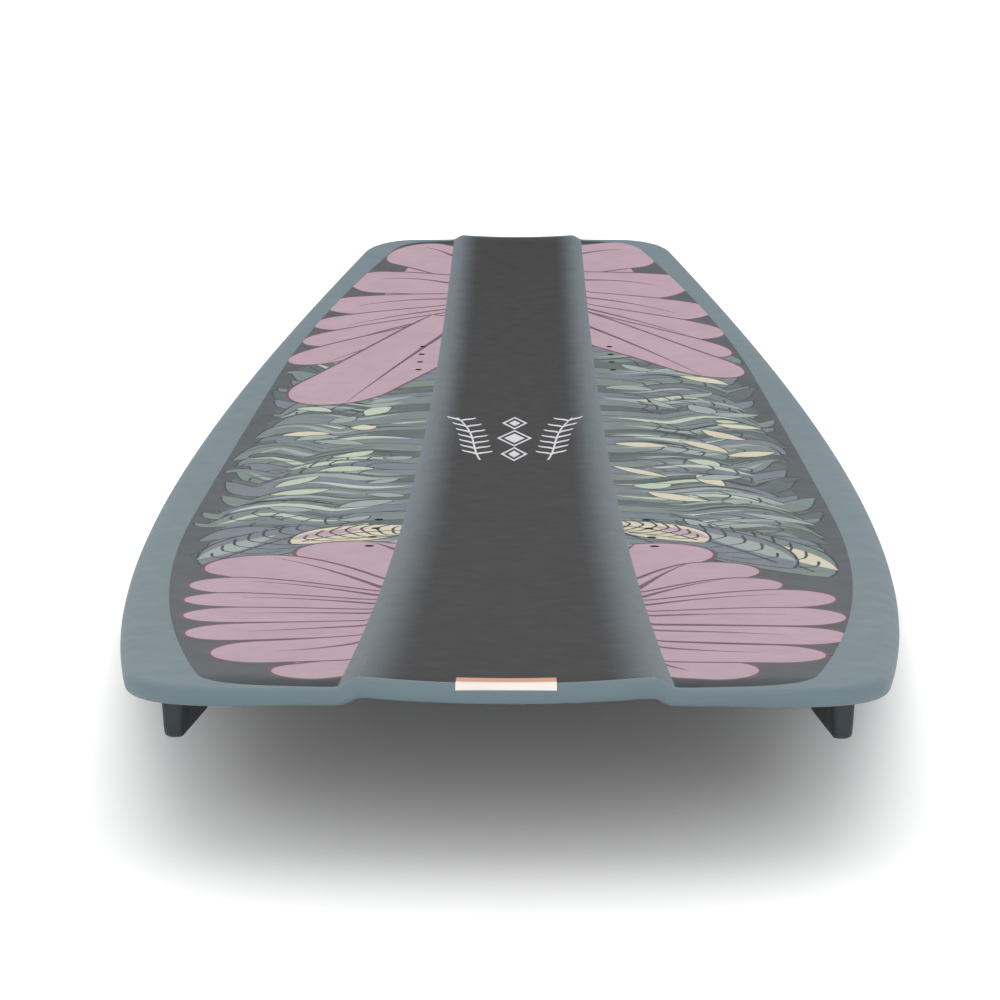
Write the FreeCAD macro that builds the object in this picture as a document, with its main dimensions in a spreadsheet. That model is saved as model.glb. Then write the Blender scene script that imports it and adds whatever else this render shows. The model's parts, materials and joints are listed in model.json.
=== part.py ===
import FreeCAD, Part
import math
import os

import Sketcher

# A twin-tip wakeboard, resting on its base.  X is across the board, Y along it towards the nose,
# Z up.  The origin is on the base at the middle of the board, its lowest point.

os.makedirs("parts", exist_ok=True)
doc = FreeCAD.newDocument("wakeboard")

# ---------------------------------------------------------------------------------------------
# Driving dimensions, in millimetres and degrees
# ---------------------------------------------------------------------------------------------

SIZES = {
    # plan outline
    "board_length": 1350.0,
    "board_width": 436.0,
    "side_radius": 2873.0,
    "corner_radius": 42.0,
    "tip_radius": 2400.0,
    # the printed panel inside the rail
    "panel_length": 1341.0,
    "panel_width": 376.0,
    "panel_waist_radius": 6000.0,
    "panel_waist_half": 220.0,
    "panel_side_radius": 1790.0,
    "panel_corner_radius": 36.0,
    "panel_tip_radius": 600.0,
    # side view
    "base_rocker": 69.5,
    "middle_thickness": 20.0,
    "tip_thickness": 6.5,
    # raised spine along the deck, with a dished top
    "spine_base_width": 124.4,
    "spine_top_width": 108.4,
    "spine_rise": 4.5,
    "spine_dish": 2.4,
    # hollow under the spine at each end of the base
    "hollow_depth": 3.2,
    "hollow_start": 300.0,
    "hollow_side": 8.0,
    # layers
    "sheet_thickness": 0.5,
    "glass_thickness": 0.8,
    # binding inserts: M6, four in a row, rows six inches apart
    "row_half_gap": 76.2,
    "insert_pitch": 25.4,
    "stance_half": 273.1,
    "sheet_hole_radius": 3.2,
    "barrel_radius": 4.5,
    "barrel_bore_radius": 2.5,
    "barrel_bore_depth": 10.5,
    "flange_radius": 7.0,
    "flange_thickness": 1.5,
    "block_depth": 13.0,
    "block_width": 26.0,
    "block_length": 112.0,
    # fins and their M5 fittings
    "fin_across": 134.5,
    "fin_along": 558.0,
    "fin_foot_length": 128.0,
    "fin_foot_width": 17.0,
    "fin_foot_thickness": 3.0,
    "fin_foot_corner": 8.0,
    "fin_blade_thickness": 8.0,
    "fin_blade_round": 2.5,
    "fin_blade_root": 1.0,
    "fin_depth": 24.3,
    "fin_shoulder": 4.0,
    "fin_blade_front": 43.0,
    "fin_front_shoulder": 42.0,
    "fin_front_corner": 39.0,
    "fin_back_corner": 22.0,
    "fin_back_shoulder": 31.0,
    "fin_blade_back": 46.0,
    "fin_screw_half_pitch": 55.0,
    "fin_nut_radius": 4.0,
    "fin_nut_length": 6.5,
    "fin_nut_flange_radius": 6.0,
    "fin_nut_flange_thickness": 1.2,
    "fin_nut_bore_radius": 2.15,
    "fin_screw_radius": 2.1,
    "fin_screw_length": 8.0,
    "fin_screw_head_radius": 4.8,
    "fin_screw_hole_radius": 2.6,
    "fin_screw_recess": 0.1,
    "countersink_gap": 0.2,
    "hex_key_across": 3.0,
    "hex_key_depth": 1.6,
    # label on the tail end of the spine
    "label_width": 37.0,
    "label_length": 14.0,
    "label_thickness": 0.2,
    "label_edge_gap": 4.0,
    # rounding of the rail
    "rail_top_round": 2.5,
    "rail_base_round": 3.0,
}

sheet = doc.addObject("Spreadsheet::Sheet", "Sizes")
for row, (alias, value) in enumerate(SIZES.items(), start=1):
    sheet.set(f"A{row}", alias)
    sheet.set(f"B{row}", str(value))
    sheet.setAlias(f"B{row}", alias)


def derived(alias, formula):
    """Adds a cell worked out from the others."""
    cell_row = len(SIZES) + 1 + len(DERIVED)
    DERIVED.append(alias)
    sheet.set(f"A{cell_row}", alias)
    sheet.set(f"B{cell_row}", "=" + formula)
    sheet.setAlias(f"B{cell_row}", alias)


DERIVED = []
derived("tip_at", "board_length / 2")
derived("base_radius", "(tip_at ^ 2 + base_rocker ^ 2) / (2 * base_rocker)")
derived("deck_rocker", "base_rocker + tip_thickness - middle_thickness")
derived("deck_radius", "(tip_at ^ 2 + deck_rocker ^ 2) / (2 * deck_rocker)")
derived("dish_radius", "((spine_top_width / 2) ^ 2 + spine_dish ^ 2) / (2 * spine_dish)")
# the hollow's roof is a tighter arc than the base; the two cross at hollow_start and at the tip
# they are hollow_depth apart
derived("hollow_gain", "2 * hollow_depth / (tip_at ^ 2 - hollow_start ^ 2)")
derived("hollow_sink", "hollow_gain * hollow_start ^ 2 / 2")
derived("hollow_radius", "1 / (1 / base_radius + hollow_gain)")
doc.recompute()


def size(alias):
    """A driving or derived dimension, as a number."""
    return float(sheet.get(alias))


# Construction solids are larger than the board, and cutting tools stick out of what they cut
ACROSS = 520.0
HALF_ACROSS = ACROSS / 2
DEEP = 80.0
PAST_TIP = 40.0
DECK_TURN = 24.0
HOLLOW_TURN = 32.0
STICK_OUT = 2.0
HALF_AXIS = 50.0
NEAR = 0.01  # lengths closer than this are equal


# ---------------------------------------------------------------------------------------------
# Sketch helpers
# ---------------------------------------------------------------------------------------------


def new_body(name):
    body = doc.addObject("PartDesign::Body", name)
    body.Label = name
    return body


def new_sketch(body, name, plane):
    sketch = body.newObject("Sketcher::SketchObject", name)
    origin_plane = next(f for f in body.Origin.OriginFeatures if f.Role == plane)
    sketch.AttachmentSupport = [(origin_plane, "")]
    sketch.MapMode = "FlatFace"
    return sketch


def bind(sketch, constraint, formula):
    """Adds a constraint and ties its value to a formula of the sheet."""
    index = sketch.addConstraint(constraint)
    if formula:
        sketch.setExpression(f"Constraints[{index}]", formula)


def pin_point(sketch, geometry, end, x, y, formulas):
    """Holds one point at x, y.  Each coordinate's size is tied to its formula."""
    for kind, value, formula in (("DistanceX", x, formulas[0]), ("DistanceY", y, formulas[1])):
        if abs(value) < 1e-9:
            axis = -2 if kind == "DistanceX" else -1
            sketch.addConstraint(Sketcher.Constraint("PointOnObject", geometry, end, axis))
        elif value > 0:
            bind(sketch, Sketcher.Constraint(kind, -1, 1, geometry, end, value), formula)
        else:
            bind(sketch, Sketcher.Constraint(kind, geometry, end, -1, 1, -value), formula)


def polygon(sketch, corners):
    """Closed outline of straight sides.  A corner is (x, y, formula of |x|, formula of |y|)."""
    count = len(corners)
    first = sketch.GeometryCount
    for i, corner in enumerate(corners):
        after = corners[(i + 1) % count]
        start = FreeCAD.Vector(corner[0], corner[1], 0)
        end = FreeCAD.Vector(after[0], after[1], 0)
        sketch.addGeometry(Part.LineSegment(start, end), False)
    for i, corner in enumerate(corners):
        following = first + (i + 1) % count
        sketch.addConstraint(Sketcher.Constraint("Coincident", first + i, 2, following, 1))
        pin_point(sketch, first + i, 1, corner[0], corner[1], corner[2:])


def arc(centre, radius, start, end):
    """Arc geometry from angle start to angle end, in radians, anticlockwise."""
    circle = Part.Circle(FreeCAD.Vector(centre[0], centre[1], 0), FreeCAD.Vector(0, 0, 1), radius)
    return Part.ArcOfCircle(circle, start, end)


def outer_crossing(centre_a, radius_a, centre_b, radius_b):
    """The crossing of two circles that lies furthest out in the first quadrant."""
    span = math.dist(centre_a, centre_b)
    along = (radius_a**2 - radius_b**2 + span**2) / (2 * span)
    off = math.sqrt(radius_a**2 - along**2)
    ux = (centre_b[0] - centre_a[0]) / span
    uy = (centre_b[1] - centre_a[1]) / span
    foot = (centre_a[0] + along * ux, centre_a[1] + along * uy)
    crossings = [(foot[0] - off * uy, foot[1] + off * ux), (foot[0] + off * uy, foot[1] - off * ux)]
    return max(crossings, key=lambda p: p[0] + p[1])


def bearing(centre, point):
    return math.atan2(point[1] - centre[1], point[0] - centre[0])


def ring_of_arcs(sketch, quarter):
    """Closed smooth outline, symmetric about both axes, from the arcs of its first quadrant.

    quarter lists (centre, radius, start angle, end angle, formula of the radius), from the X axis
    to the Y axis.  The first and the last arc cross their axis and are drawn whole.
    """
    pi = math.pi
    first, last = quarter[0], quarter[-1]
    middle = quarter[1:-1]

    def turned(item, flip_x, flip_y):
        centre, radius, start, end, formula = item
        x = -centre[0] if flip_x else centre[0]
        y = -centre[1] if flip_y else centre[1]
        if flip_x:
            start, end = pi - end, pi - start
        if flip_y:
            start, end = -end, -start
        return ((x, y), radius, start, end, formula)

    side = (first[0], first[1], -first[3], first[3], first[4])
    tip = (last[0], last[1], last[2], pi - last[2], last[4])
    order = [side]
    order += middle
    order += [tip]
    order += [turned(item, True, False) for item in reversed(middle)]
    order += [turned(side, True, False)]
    order += [turned(item, True, True) for item in middle]
    order += [turned(tip, False, True)]
    order += [turned(item, False, True) for item in reversed(middle)]
    for centre, radius, start, end, _ in order:
        sketch.addGeometry(arc(centre, radius, start, end), False)
    count = len(order)
    for i in range(count):
        sketch.addConstraint(Sketcher.Constraint("Tangent", i, 2, (i + 1) % count, 1))
    for i, item in enumerate(order):
        bind(sketch, Sketcher.Constraint("Radius", i, item[1]), item[4])
    return order


# ---------------------------------------------------------------------------------------------
# Plan outlines
# ---------------------------------------------------------------------------------------------


def upright_pad(body, sketch):
    pad = body.newObject("PartDesign::Pad", body.Name + "_pad")
    pad.Profile = sketch
    pad.Length = 4 * DEEP
    pad.Midplane = True
    sketch.Visibility = False
    return pad


def board_outline():
    """The whole board in plan: side arcs, corner arcs and nearly straight tips."""
    half_width = size("board_width") / 2
    side_r = size("side_radius")
    corner_r = size("corner_radius")
    tip_r = size("tip_radius")
    side_c = (half_width - side_r, 0.0)
    tip_c = (0.0, size("tip_at") - tip_r)
    corner_c = outer_crossing(side_c, side_r - corner_r, tip_c, tip_r - corner_r)
    leave_side = bearing(side_c, corner_c)
    reach_tip = bearing(tip_c, corner_c)
    body = new_body("board_plan")
    sketch = new_sketch(body, "board_plan_outline", "XY_Plane")
    order = ring_of_arcs(
        sketch,
        [
            (side_c, side_r, 0.0, leave_side, "Sizes.side_radius"),
            (corner_c, corner_r, leave_side, reach_tip, "Sizes.corner_radius"),
            (tip_c, tip_r, reach_tip, math.pi / 2, "Sizes.tip_radius"),
        ],
    )
    side_formulas = ("Sizes.side_radius - Sizes.board_width / 2", "")
    tip_formulas = ("", "Sizes.tip_radius - Sizes.tip_at")
    for index, item in enumerate(order):
        if item[1] == side_r:
            pin_point(sketch, index, 3, item[0][0], item[0][1], side_formulas)
        elif item[1] == tip_r:
            pin_point(sketch, index, 3, item[0][0], item[0][1], tip_formulas)
    upright_pad(body, sketch)
    return body


def panel_outline():
    """The laminated panel inside the rail: nearly straight waist, rounder towards the tips."""
    half_width = size("panel_width") / 2
    half_length = size("panel_length") / 2
    waist_r = size("panel_waist_radius")
    waist_half = size("panel_waist_half")
    side_r = size("panel_side_radius")
    corner_r = size("panel_corner_radius")
    tip_r = size("panel_tip_radius")
    waist_c = (half_width - waist_r, 0.0)
    leave_waist = math.asin(waist_half / waist_r)
    closer = waist_r - side_r
    side_c = (waist_c[0] + closer * math.cos(leave_waist), closer * math.sin(leave_waist))
    tip_c = (0.0, half_length - tip_r)
    corner_c = outer_crossing(side_c, side_r - corner_r, tip_c, tip_r - corner_r)
    leave_side = bearing(side_c, corner_c)
    reach_tip = bearing(tip_c, corner_c)
    body = new_body("panel_plan")
    sketch = new_sketch(body, "panel_plan_outline", "XY_Plane")
    order = ring_of_arcs(
        sketch,
        [
            (waist_c, waist_r, 0.0, leave_waist, "Sizes.panel_waist_radius"),
            (side_c, side_r, leave_waist, leave_side, "Sizes.panel_side_radius"),
            (corner_c, corner_r, leave_side, reach_tip, "Sizes.panel_corner_radius"),
            (tip_c, tip_r, reach_tip, math.pi / 2, "Sizes.panel_tip_radius"),
        ],
    )
    waist_formulas = ("Sizes.panel_waist_radius - Sizes.panel_width / 2", "")
    tip_formulas = ("", "Sizes.panel_length / 2 - Sizes.panel_tip_radius")
    for index, item in enumerate(order):
        if item[1] == waist_r:
            pin_point(sketch, index, 3, item[0][0], item[0][1], waist_formulas)
            for end in (1, 2):
                point = sketch.getPoint(index, end)
                pair = (-1, 1, index, end) if point.y > 0 else (index, end, -1, 1)
                bind(sketch, Sketcher.Constraint("DistanceY", *pair, waist_half), "Sizes.panel_waist_half")
        elif item[1] == tip_r:
            pin_point(sketch, index, 3, item[0][0], item[0][1], tip_formulas)
    upright_pad(body, sketch)
    return body


# ---------------------------------------------------------------------------------------------
# Surfaces of the lay-up: everything below one deck level, everything above one base level
# ---------------------------------------------------------------------------------------------


def revolved_about_x(body, sketch, axis_height, formula, angle):
    """Turns the sketch about a line that runs across the board at axis_height."""
    index = sketch.addGeometry(
        Part.LineSegment(
            FreeCAD.Vector(-HALF_AXIS, axis_height, 0), FreeCAD.Vector(HALF_AXIS, axis_height, 0)
        ),
        True,
    )
    sketch.addConstraint(Sketcher.Constraint("Horizontal", index))
    bind(sketch, Sketcher.Constraint("DistanceY", -1, 1, index, 1, axis_height), formula)
    bind(sketch, Sketcher.Constraint("DistanceX", index, 1, -1, 1, HALF_AXIS), "")
    bind(sketch, Sketcher.Constraint("DistanceX", -1, 1, index, 2, HALF_AXIS), "")
    turn = body.newObject("PartDesign::Revolution", body.Name + "_turn")
    turn.Profile = sketch
    turn.ReferenceAxis = (sketch, ["Axis0"])
    turn.Angle = angle
    turn.Midplane = True
    sketch.Visibility = False
    return turn


def ridge_profile(sketch, edge, shoulder, level, ridge, dish_r, floor, formulas):
    """Section across the board: flat, up a slope at edge to the ridge at shoulder, dished top.

    formulas holds those of edge, shoulder, level, ridge and the dish's radius.
    """
    on_edge, on_shoulder, on_level, on_ridge, on_dish = formulas
    wide = HALF_ACROSS
    corners = [
        (-shoulder, ridge, on_shoulder, on_ridge),
        (-edge, level, on_edge, on_level),
        (-wide, level, "", on_level),
        (-wide, floor, "", ""),
        (wide, floor, "", ""),
        (wide, level, "", on_level),
        (edge, level, on_edge, on_level),
        (shoulder, ridge, on_shoulder, on_ridge),
    ]
    for here, after in zip(corners, corners[1:]):
        start = FreeCAD.Vector(here[0], here[1], 0)
        end = FreeCAD.Vector(after[0], after[1], 0)
        sketch.addGeometry(Part.LineSegment(start, end), False)
    last = len(corners) - 2
    centre_height = ridge + math.sqrt(dish_r**2 - shoulder**2)
    lean = math.asin(shoulder / dish_r)
    down = -math.pi / 2
    dish = sketch.addGeometry(arc((0, centre_height), dish_r, down - lean, down + lean), False)
    for i in range(last):
        sketch.addConstraint(Sketcher.Constraint("Coincident", i, 2, i + 1, 1))
    sketch.addConstraint(Sketcher.Constraint("Coincident", dish, 1, 0, 1))
    sketch.addConstraint(Sketcher.Constraint("Coincident", dish, 2, last, 2))
    for i, corner in enumerate(corners[:-1]):
        pin_point(sketch, i, 1, corner[0], corner[1], corner[2:])
    pin_point(sketch, last, 2, corners[-1][0], corners[-1][1], corners[-1][2:])
    bind(sketch, Sketcher.Constraint("Radius", dish, dish_r), on_dish)


def below_deck(name, drop, drop_formula):
    """Everything below the deck surface lowered by drop."""
    body = new_body(name)
    sketch = new_sketch(body, name + "_section", "XZ_Plane")
    level = size("middle_thickness") - drop
    level_formula = f"Sizes.middle_thickness - ({drop_formula})"
    ridge_profile(
        sketch,
        size("spine_base_width") / 2,
        size("spine_top_width") / 2,
        level,
        level + size("spine_rise"),
        size("dish_radius"),
        -DEEP,
        (
            "Sizes.spine_base_width / 2",
            "Sizes.spine_top_width / 2",
            level_formula,
            level_formula + " + Sizes.spine_rise",
            "Sizes.dish_radius",
        ),
    )
    height = size("deck_radius") + size("middle_thickness")
    revolved_about_x(body, sketch, height, "Sizes.deck_radius + Sizes.middle_thickness", DECK_TURN)
    return body


def above_base(name, lift, lift_formula):
    """Everything above the base surface raised by lift, hollowed under the spine at the tips."""
    base_r = size("base_radius")
    reach = size("tip_at") + PAST_TIP
    top = size("base_rocker") + DEEP
    body = new_body(name + "_rocker")
    sketch = new_sketch(body, name + "_side", "YZ_Plane")
    lean = math.asin(reach / (base_r - lift))
    down = -math.pi / 2
    end_height = base_r - (base_r - lift) * math.cos(lean)
    sketch.addGeometry(arc((0, base_r), base_r - lift, down - lean, down + lean), False)
    points = [(reach, end_height), (reach, top), (-reach, top), (-reach, end_height)]
    for here, after in zip(points, points[1:]):
        start = FreeCAD.Vector(here[0], here[1], 0)
        end = FreeCAD.Vector(after[0], after[1], 0)
        sketch.addGeometry(Part.LineSegment(start, end), False)
    for i in range(4):
        sketch.addConstraint(Sketcher.Constraint("Coincident", i, 2, (i + 1) % 4, 1))
    pin_point(sketch, 0, 3, 0.0, base_r, ("", "Sizes.base_radius"))
    bind(sketch, Sketcher.Constraint("Radius", 0, base_r - lift), f"Sizes.base_radius - ({lift_formula})")
    sketch.addConstraint(Sketcher.Constraint("Vertical", 1))
    sketch.addConstraint(Sketcher.Constraint("Vertical", 3))
    pin_point(sketch, 1, 2, reach, top, (f"Sizes.tip_at + {PAST_TIP}", ""))
    pin_point(sketch, 2, 2, -reach, top, (f"Sizes.tip_at + {PAST_TIP}", ""))
    pad = body.newObject("PartDesign::Pad", name + "_pad")
    pad.Profile = sketch
    pad.Length = ACROSS
    pad.Midplane = True
    sketch.Visibility = False
    hollow = base_hollow(name + "_hollow", lift, lift_formula)
    cut = doc.addObject("Part::Cut", name)
    cut.Base = body
    cut.Tool = hollow
    return cut


def base_hollow(name, lift, lift_formula):
    """What the hollows under the spine take away: one turned solid that reaches both tips."""
    body = new_body(name)
    sketch = new_sketch(body, name + "_section", "XZ_Plane")
    sink = size("hollow_sink")
    shoulder = size("spine_top_width") / 2
    slope = (size("spine_base_width") - size("spine_top_width")) / 2 / size("spine_rise")
    foot = size("hollow_side")
    edge = shoulder + slope * foot
    roof = lift - sink
    dish_r = size("dish_radius")
    floor = -DEEP
    corners = [(-shoulder, roof), (-edge, roof - foot), (-edge, floor)]
    corners += [(-x, y) for x, y in reversed(corners)]
    slope_formula = "(Sizes.spine_base_width - Sizes.spine_top_width) / 2 / Sizes.spine_rise"
    shoulder_formula = "Sizes.spine_top_width / 2"
    edge_formula = f"{shoulder_formula} + {slope_formula} * Sizes.hollow_side"
    roof_formula = f"{lift_formula} - Sizes.hollow_sink"
    for here, after in zip(corners, corners[1:]):
        start = FreeCAD.Vector(here[0], here[1], 0)
        end = FreeCAD.Vector(after[0], after[1], 0)
        sketch.addGeometry(Part.LineSegment(start, end), False)
    lean = math.asin(shoulder / dish_r)
    down = -math.pi / 2
    centre_height = roof + dish_r * math.cos(lean)
    dish = sketch.addGeometry(arc((0, centre_height), dish_r, down - lean, down + lean), False)
    for i in range(4):
        sketch.addConstraint(Sketcher.Constraint("Coincident", i, 2, i + 1, 1))
    sketch.addConstraint(Sketcher.Constraint("Coincident", dish, 1, 0, 1))
    sketch.addConstraint(Sketcher.Constraint("Coincident", dish, 2, 4, 2))
    bind(sketch, Sketcher.Constraint("Radius", dish, dish_r), "Sizes.dish_radius")
    signed_roof = roof_formula if roof > 0 else f"-({roof_formula})"
    pin_point(sketch, 0, 1, -shoulder, roof, (shoulder_formula, signed_roof))
    pin_point(sketch, 1, 1, -edge, roof - foot, (edge_formula, f"Sizes.hollow_side - ({roof_formula})"))
    pin_point(sketch, 2, 1, -edge, floor, (edge_formula, ""))
    pin_point(sketch, 3, 1, edge, floor, (edge_formula, ""))
    pin_point(sketch, 4, 1, edge, roof - foot, (edge_formula, f"Sizes.hollow_side - ({roof_formula})"))
    pin_point(sketch, 4, 2, shoulder, roof, (shoulder_formula, signed_roof))
    revolved_about_x(body, sketch, size("hollow_radius"), "Sizes.hollow_radius", HOLLOW_TURN)
    return body


# ---------------------------------------------------------------------------------------------
# Boolean helpers
# ---------------------------------------------------------------------------------------------


def boolean(kind, name, base, tool):
    result = doc.addObject(kind, name)
    result.Label = name
    result.Base = base
    result.Tool = tool
    return result


def cut(name, base, tool):
    return boolean("Part::Cut", name, base, tool)


def common(name, base, tool):
    return boolean("Part::Common", name, base, tool)


def group(name, members):
    """Several solids under one name; those that don't touch stay separate."""
    result = doc.addObject("Part::MultiFuse", name)
    result.Label = name
    result.Shapes = members
    return result


# ---------------------------------------------------------------------------------------------
# Layers of the laminate
# ---------------------------------------------------------------------------------------------

SKIN = "Sizes.sheet_thickness"
SKIN_AND_GLASS = "Sizes.sheet_thickness + Sizes.glass_thickness"
skin = size("sheet_thickness")
skin_and_glass = skin + size("glass_thickness")

board_plan = board_outline()
panel_plan = panel_outline()
deck_top = below_deck("deck_top", 0.0, "0")
under_deck_sheet = below_deck("under_deck_sheet", skin, SKIN)
under_top_glass = below_deck("under_top_glass", skin_and_glass, SKIN_AND_GLASS)
base_bottom = above_base("base_bottom", 0.0, "0")
over_base_sheet = above_base("over_base_sheet", skin, SKIN)
over_bottom_glass = above_base("over_bottom_glass", skin_and_glass, SKIN_AND_GLASS)
doc.recompute()


def panel_layer(name, kept, removed):
    """The panel's footprint within one level, less all that the next level holds."""
    slab = common(name + "_slab", panel_plan, kept)
    return cut(name + "_whole", slab, removed)


deck_sheet_whole = panel_layer("deck_sheet", deck_top, under_deck_sheet)
top_glass_whole = panel_layer("top_glass", under_deck_sheet, under_top_glass)
base_sheet_whole = panel_layer("base_sheet", base_bottom, over_base_sheet)
bottom_glass_whole = panel_layer("bottom_glass", over_base_sheet, over_bottom_glass)
core_slab = common("core_slab", over_bottom_glass, under_top_glass)
core_whole = common("core_whole", panel_plan, core_slab)
rail_slab = common("rail_slab", base_bottom, deck_top)
rail_disc = common("rail_disc", board_plan, rail_slab)
rail_ring = cut("rail_ring", rail_disc, panel_plan)
doc.recompute()


# ---------------------------------------------------------------------------------------------
# Turned fittings: inserts, nuts and screws
# ---------------------------------------------------------------------------------------------


def turned_body(name, corners):
    """A body turned about its own Z axis.  A corner is (radius, height, formulas of both)."""
    body = new_body(name)
    sketch = new_sketch(body, name + "_section", "XZ_Plane")
    polygon(sketch, corners)
    turn = body.newObject("PartDesign::Revolution", name + "_turn")
    turn.Profile = sketch
    turn.ReferenceAxis = (sketch, ["V_Axis"])
    turn.Angle = 360.0
    sketch.Visibility = False
    return body


def binding_barrel(name):
    """M6 barrel, its mouth under the deck sheet and its flange flush with the block's underside."""
    barrel, bore = size("barrel_radius"), size("barrel_bore_radius")
    mouth, bore_end = size("sheet_thickness"), size("barrel_bore_depth")
    flange, deep = size("flange_radius"), size("block_depth")
    shelf = deep - size("flange_thickness")
    on_shelf = "Sizes.block_depth - Sizes.flange_thickness"
    corners = [
        (bore, -mouth, "Sizes.barrel_bore_radius", "Sizes.sheet_thickness"),
        (bore, -bore_end, "Sizes.barrel_bore_radius", "Sizes.barrel_bore_depth"),
        (0.0, -bore_end, "", "Sizes.barrel_bore_depth"),
        (0.0, -deep, "", "Sizes.block_depth"),
        (flange, -deep, "Sizes.flange_radius", "Sizes.block_depth"),
        (flange, -shelf, "Sizes.flange_radius", on_shelf),
        (barrel, -shelf, "Sizes.barrel_radius", on_shelf),
        (barrel, -mouth, "Sizes.barrel_radius", "Sizes.sheet_thickness"),
    ]
    return turned_body(name, corners)


def fin_nut(name):
    """Flanged M5 barrel, its mouth at the origin and its blind end above."""
    barrel, bore = size("fin_nut_radius"), size("fin_nut_bore_radius")
    flange, long = size("fin_nut_flange_radius"), size("fin_nut_length")
    shelf = long - size("fin_nut_flange_thickness")
    on_shelf = "Sizes.fin_nut_length - Sizes.fin_nut_flange_thickness"
    corners = [
        (bore, 0.0, "Sizes.fin_nut_bore_radius", ""),
        (barrel, 0.0, "Sizes.fin_nut_radius", ""),
        (barrel, shelf, "Sizes.fin_nut_radius", on_shelf),
        (flange, shelf, "Sizes.fin_nut_flange_radius", on_shelf),
        (flange, long, "Sizes.fin_nut_flange_radius", "Sizes.fin_nut_length"),
        (0.0, long, "", "Sizes.fin_nut_length"),
        (0.0, shelf, "", on_shelf),
        (bore, shelf, "Sizes.fin_nut_bore_radius", on_shelf),
    ]
    return turned_body(name, corners)


def plug(name, radius, low, high):
    """A plain cylinder on the Z axis between two heights.  All three are formulas."""
    cylinder = doc.addObject("Part::Cylinder", name)
    cylinder.setExpression("Radius", radius)
    cylinder.setExpression("Height", f"({high}) - ({low})")
    cylinder.setExpression(".Placement.Base.z", low)
    return cylinder


def linked_at(name, source, placement):
    """The source's shape again, at another place."""
    copy = doc.addObject("Part::Compound", name)
    copy.Links = [source]
    copy.Placement = placement
    return copy


def tilted(x, y, z, lean):
    """A place on the board, leaning by lean degrees about the X axis."""
    turn = FreeCAD.Rotation(FreeCAD.Vector(1, 0, 0), lean)
    return FreeCAD.Placement(FreeCAD.Vector(x, y, z), turn)


# ---------------------------------------------------------------------------------------------
# Binding inserts: a dense block under the top glass with four barrels in it, four times over
# ---------------------------------------------------------------------------------------------

CORNERS = {
    "tail_left": (-1, -1),
    "tail_right": (1, -1),
    "nose_left": (-1, 1),
    "nose_right": (1, 1),
}
PARTS = {}


def deck_place(side, end):
    """Frame of one insert row: on the deck, Z along the deck's normal there."""
    along = size("stance_half")
    lean = math.asin(along / size("deck_radius"))
    height = size("middle_thickness") + size("deck_radius") * (1 - math.cos(lean))
    return tilted(side * size("row_half_gap"), end * along, height, end * math.degrees(lean))


row_slots = [(i - 1.5) * size("insert_pitch") for i in range(4)]
sample_barrel = binding_barrel("sample_barrel")
sample_barrel_void = plug(
    "sample_barrel_void", "Sizes.barrel_radius", "0 - Sizes.block_depth", f"{STICK_OUT}"
)
sample_flange_void = plug(
    "sample_flange_void",
    "Sizes.flange_radius",
    "0 - Sizes.block_depth",
    "Sizes.flange_thickness - Sizes.block_depth",
)
sample_void = group("sample_void", [sample_barrel_void, sample_flange_void])
sample_sheet_hole = plug(
    "sample_sheet_hole", "Sizes.sheet_hole_radius", f"0 - {STICK_OUT}", f"{STICK_OUT}"
)
doc.recompute()

block_list = []
void_list = []
sheet_hole_list = []
for corner, (side, end) in CORNERS.items():
    place = deck_place(side, end)
    barrels = []
    voids = []
    for number, slot in enumerate(row_slots):
        spot = place.multiply(FreeCAD.Placement(FreeCAD.Vector(0, slot, 0), FreeCAD.Rotation()))
        barrels.append(linked_at(f"barrel_{corner}_{number}", sample_barrel, spot))
        voids.append(linked_at(f"void_{corner}_{number}", sample_void, spot))
        sheet_hole_list.append(linked_at(f"hole_{corner}_{number}", sample_sheet_hole, spot))
    PARTS[f"binding_inserts_{corner}"] = group(f"binding_inserts_{corner}", barrels)
    row_void = group(f"insert_void_{corner}", voids)
    void_list.append(row_void)
    blank = doc.addObject("Part::Box", f"block_blank_{corner}")
    blank.setExpression("Length", "Sizes.block_width")
    blank.setExpression("Width", "Sizes.block_length")
    blank.setExpression("Height", "Sizes.block_depth")
    low_corner = FreeCAD.Vector(-size("block_width") / 2, -size("block_length") / 2, -size("block_depth"))
    blank.Placement = place.multiply(FreeCAD.Placement(low_corner, FreeCAD.Rotation()))
    block = common(f"block_solid_{corner}", blank, under_top_glass)
    block_list.append(block)
    PARTS[f"insert_block_{corner}"] = cut(f"insert_block_{corner}", block, row_void)
insert_voids = group("insert_voids", void_list)
sheet_holes = group("sheet_holes", sheet_hole_list)
doc.recompute()


# ---------------------------------------------------------------------------------------------
# Fins, with their nuts in the board and their screws from below
# ---------------------------------------------------------------------------------------------


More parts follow.
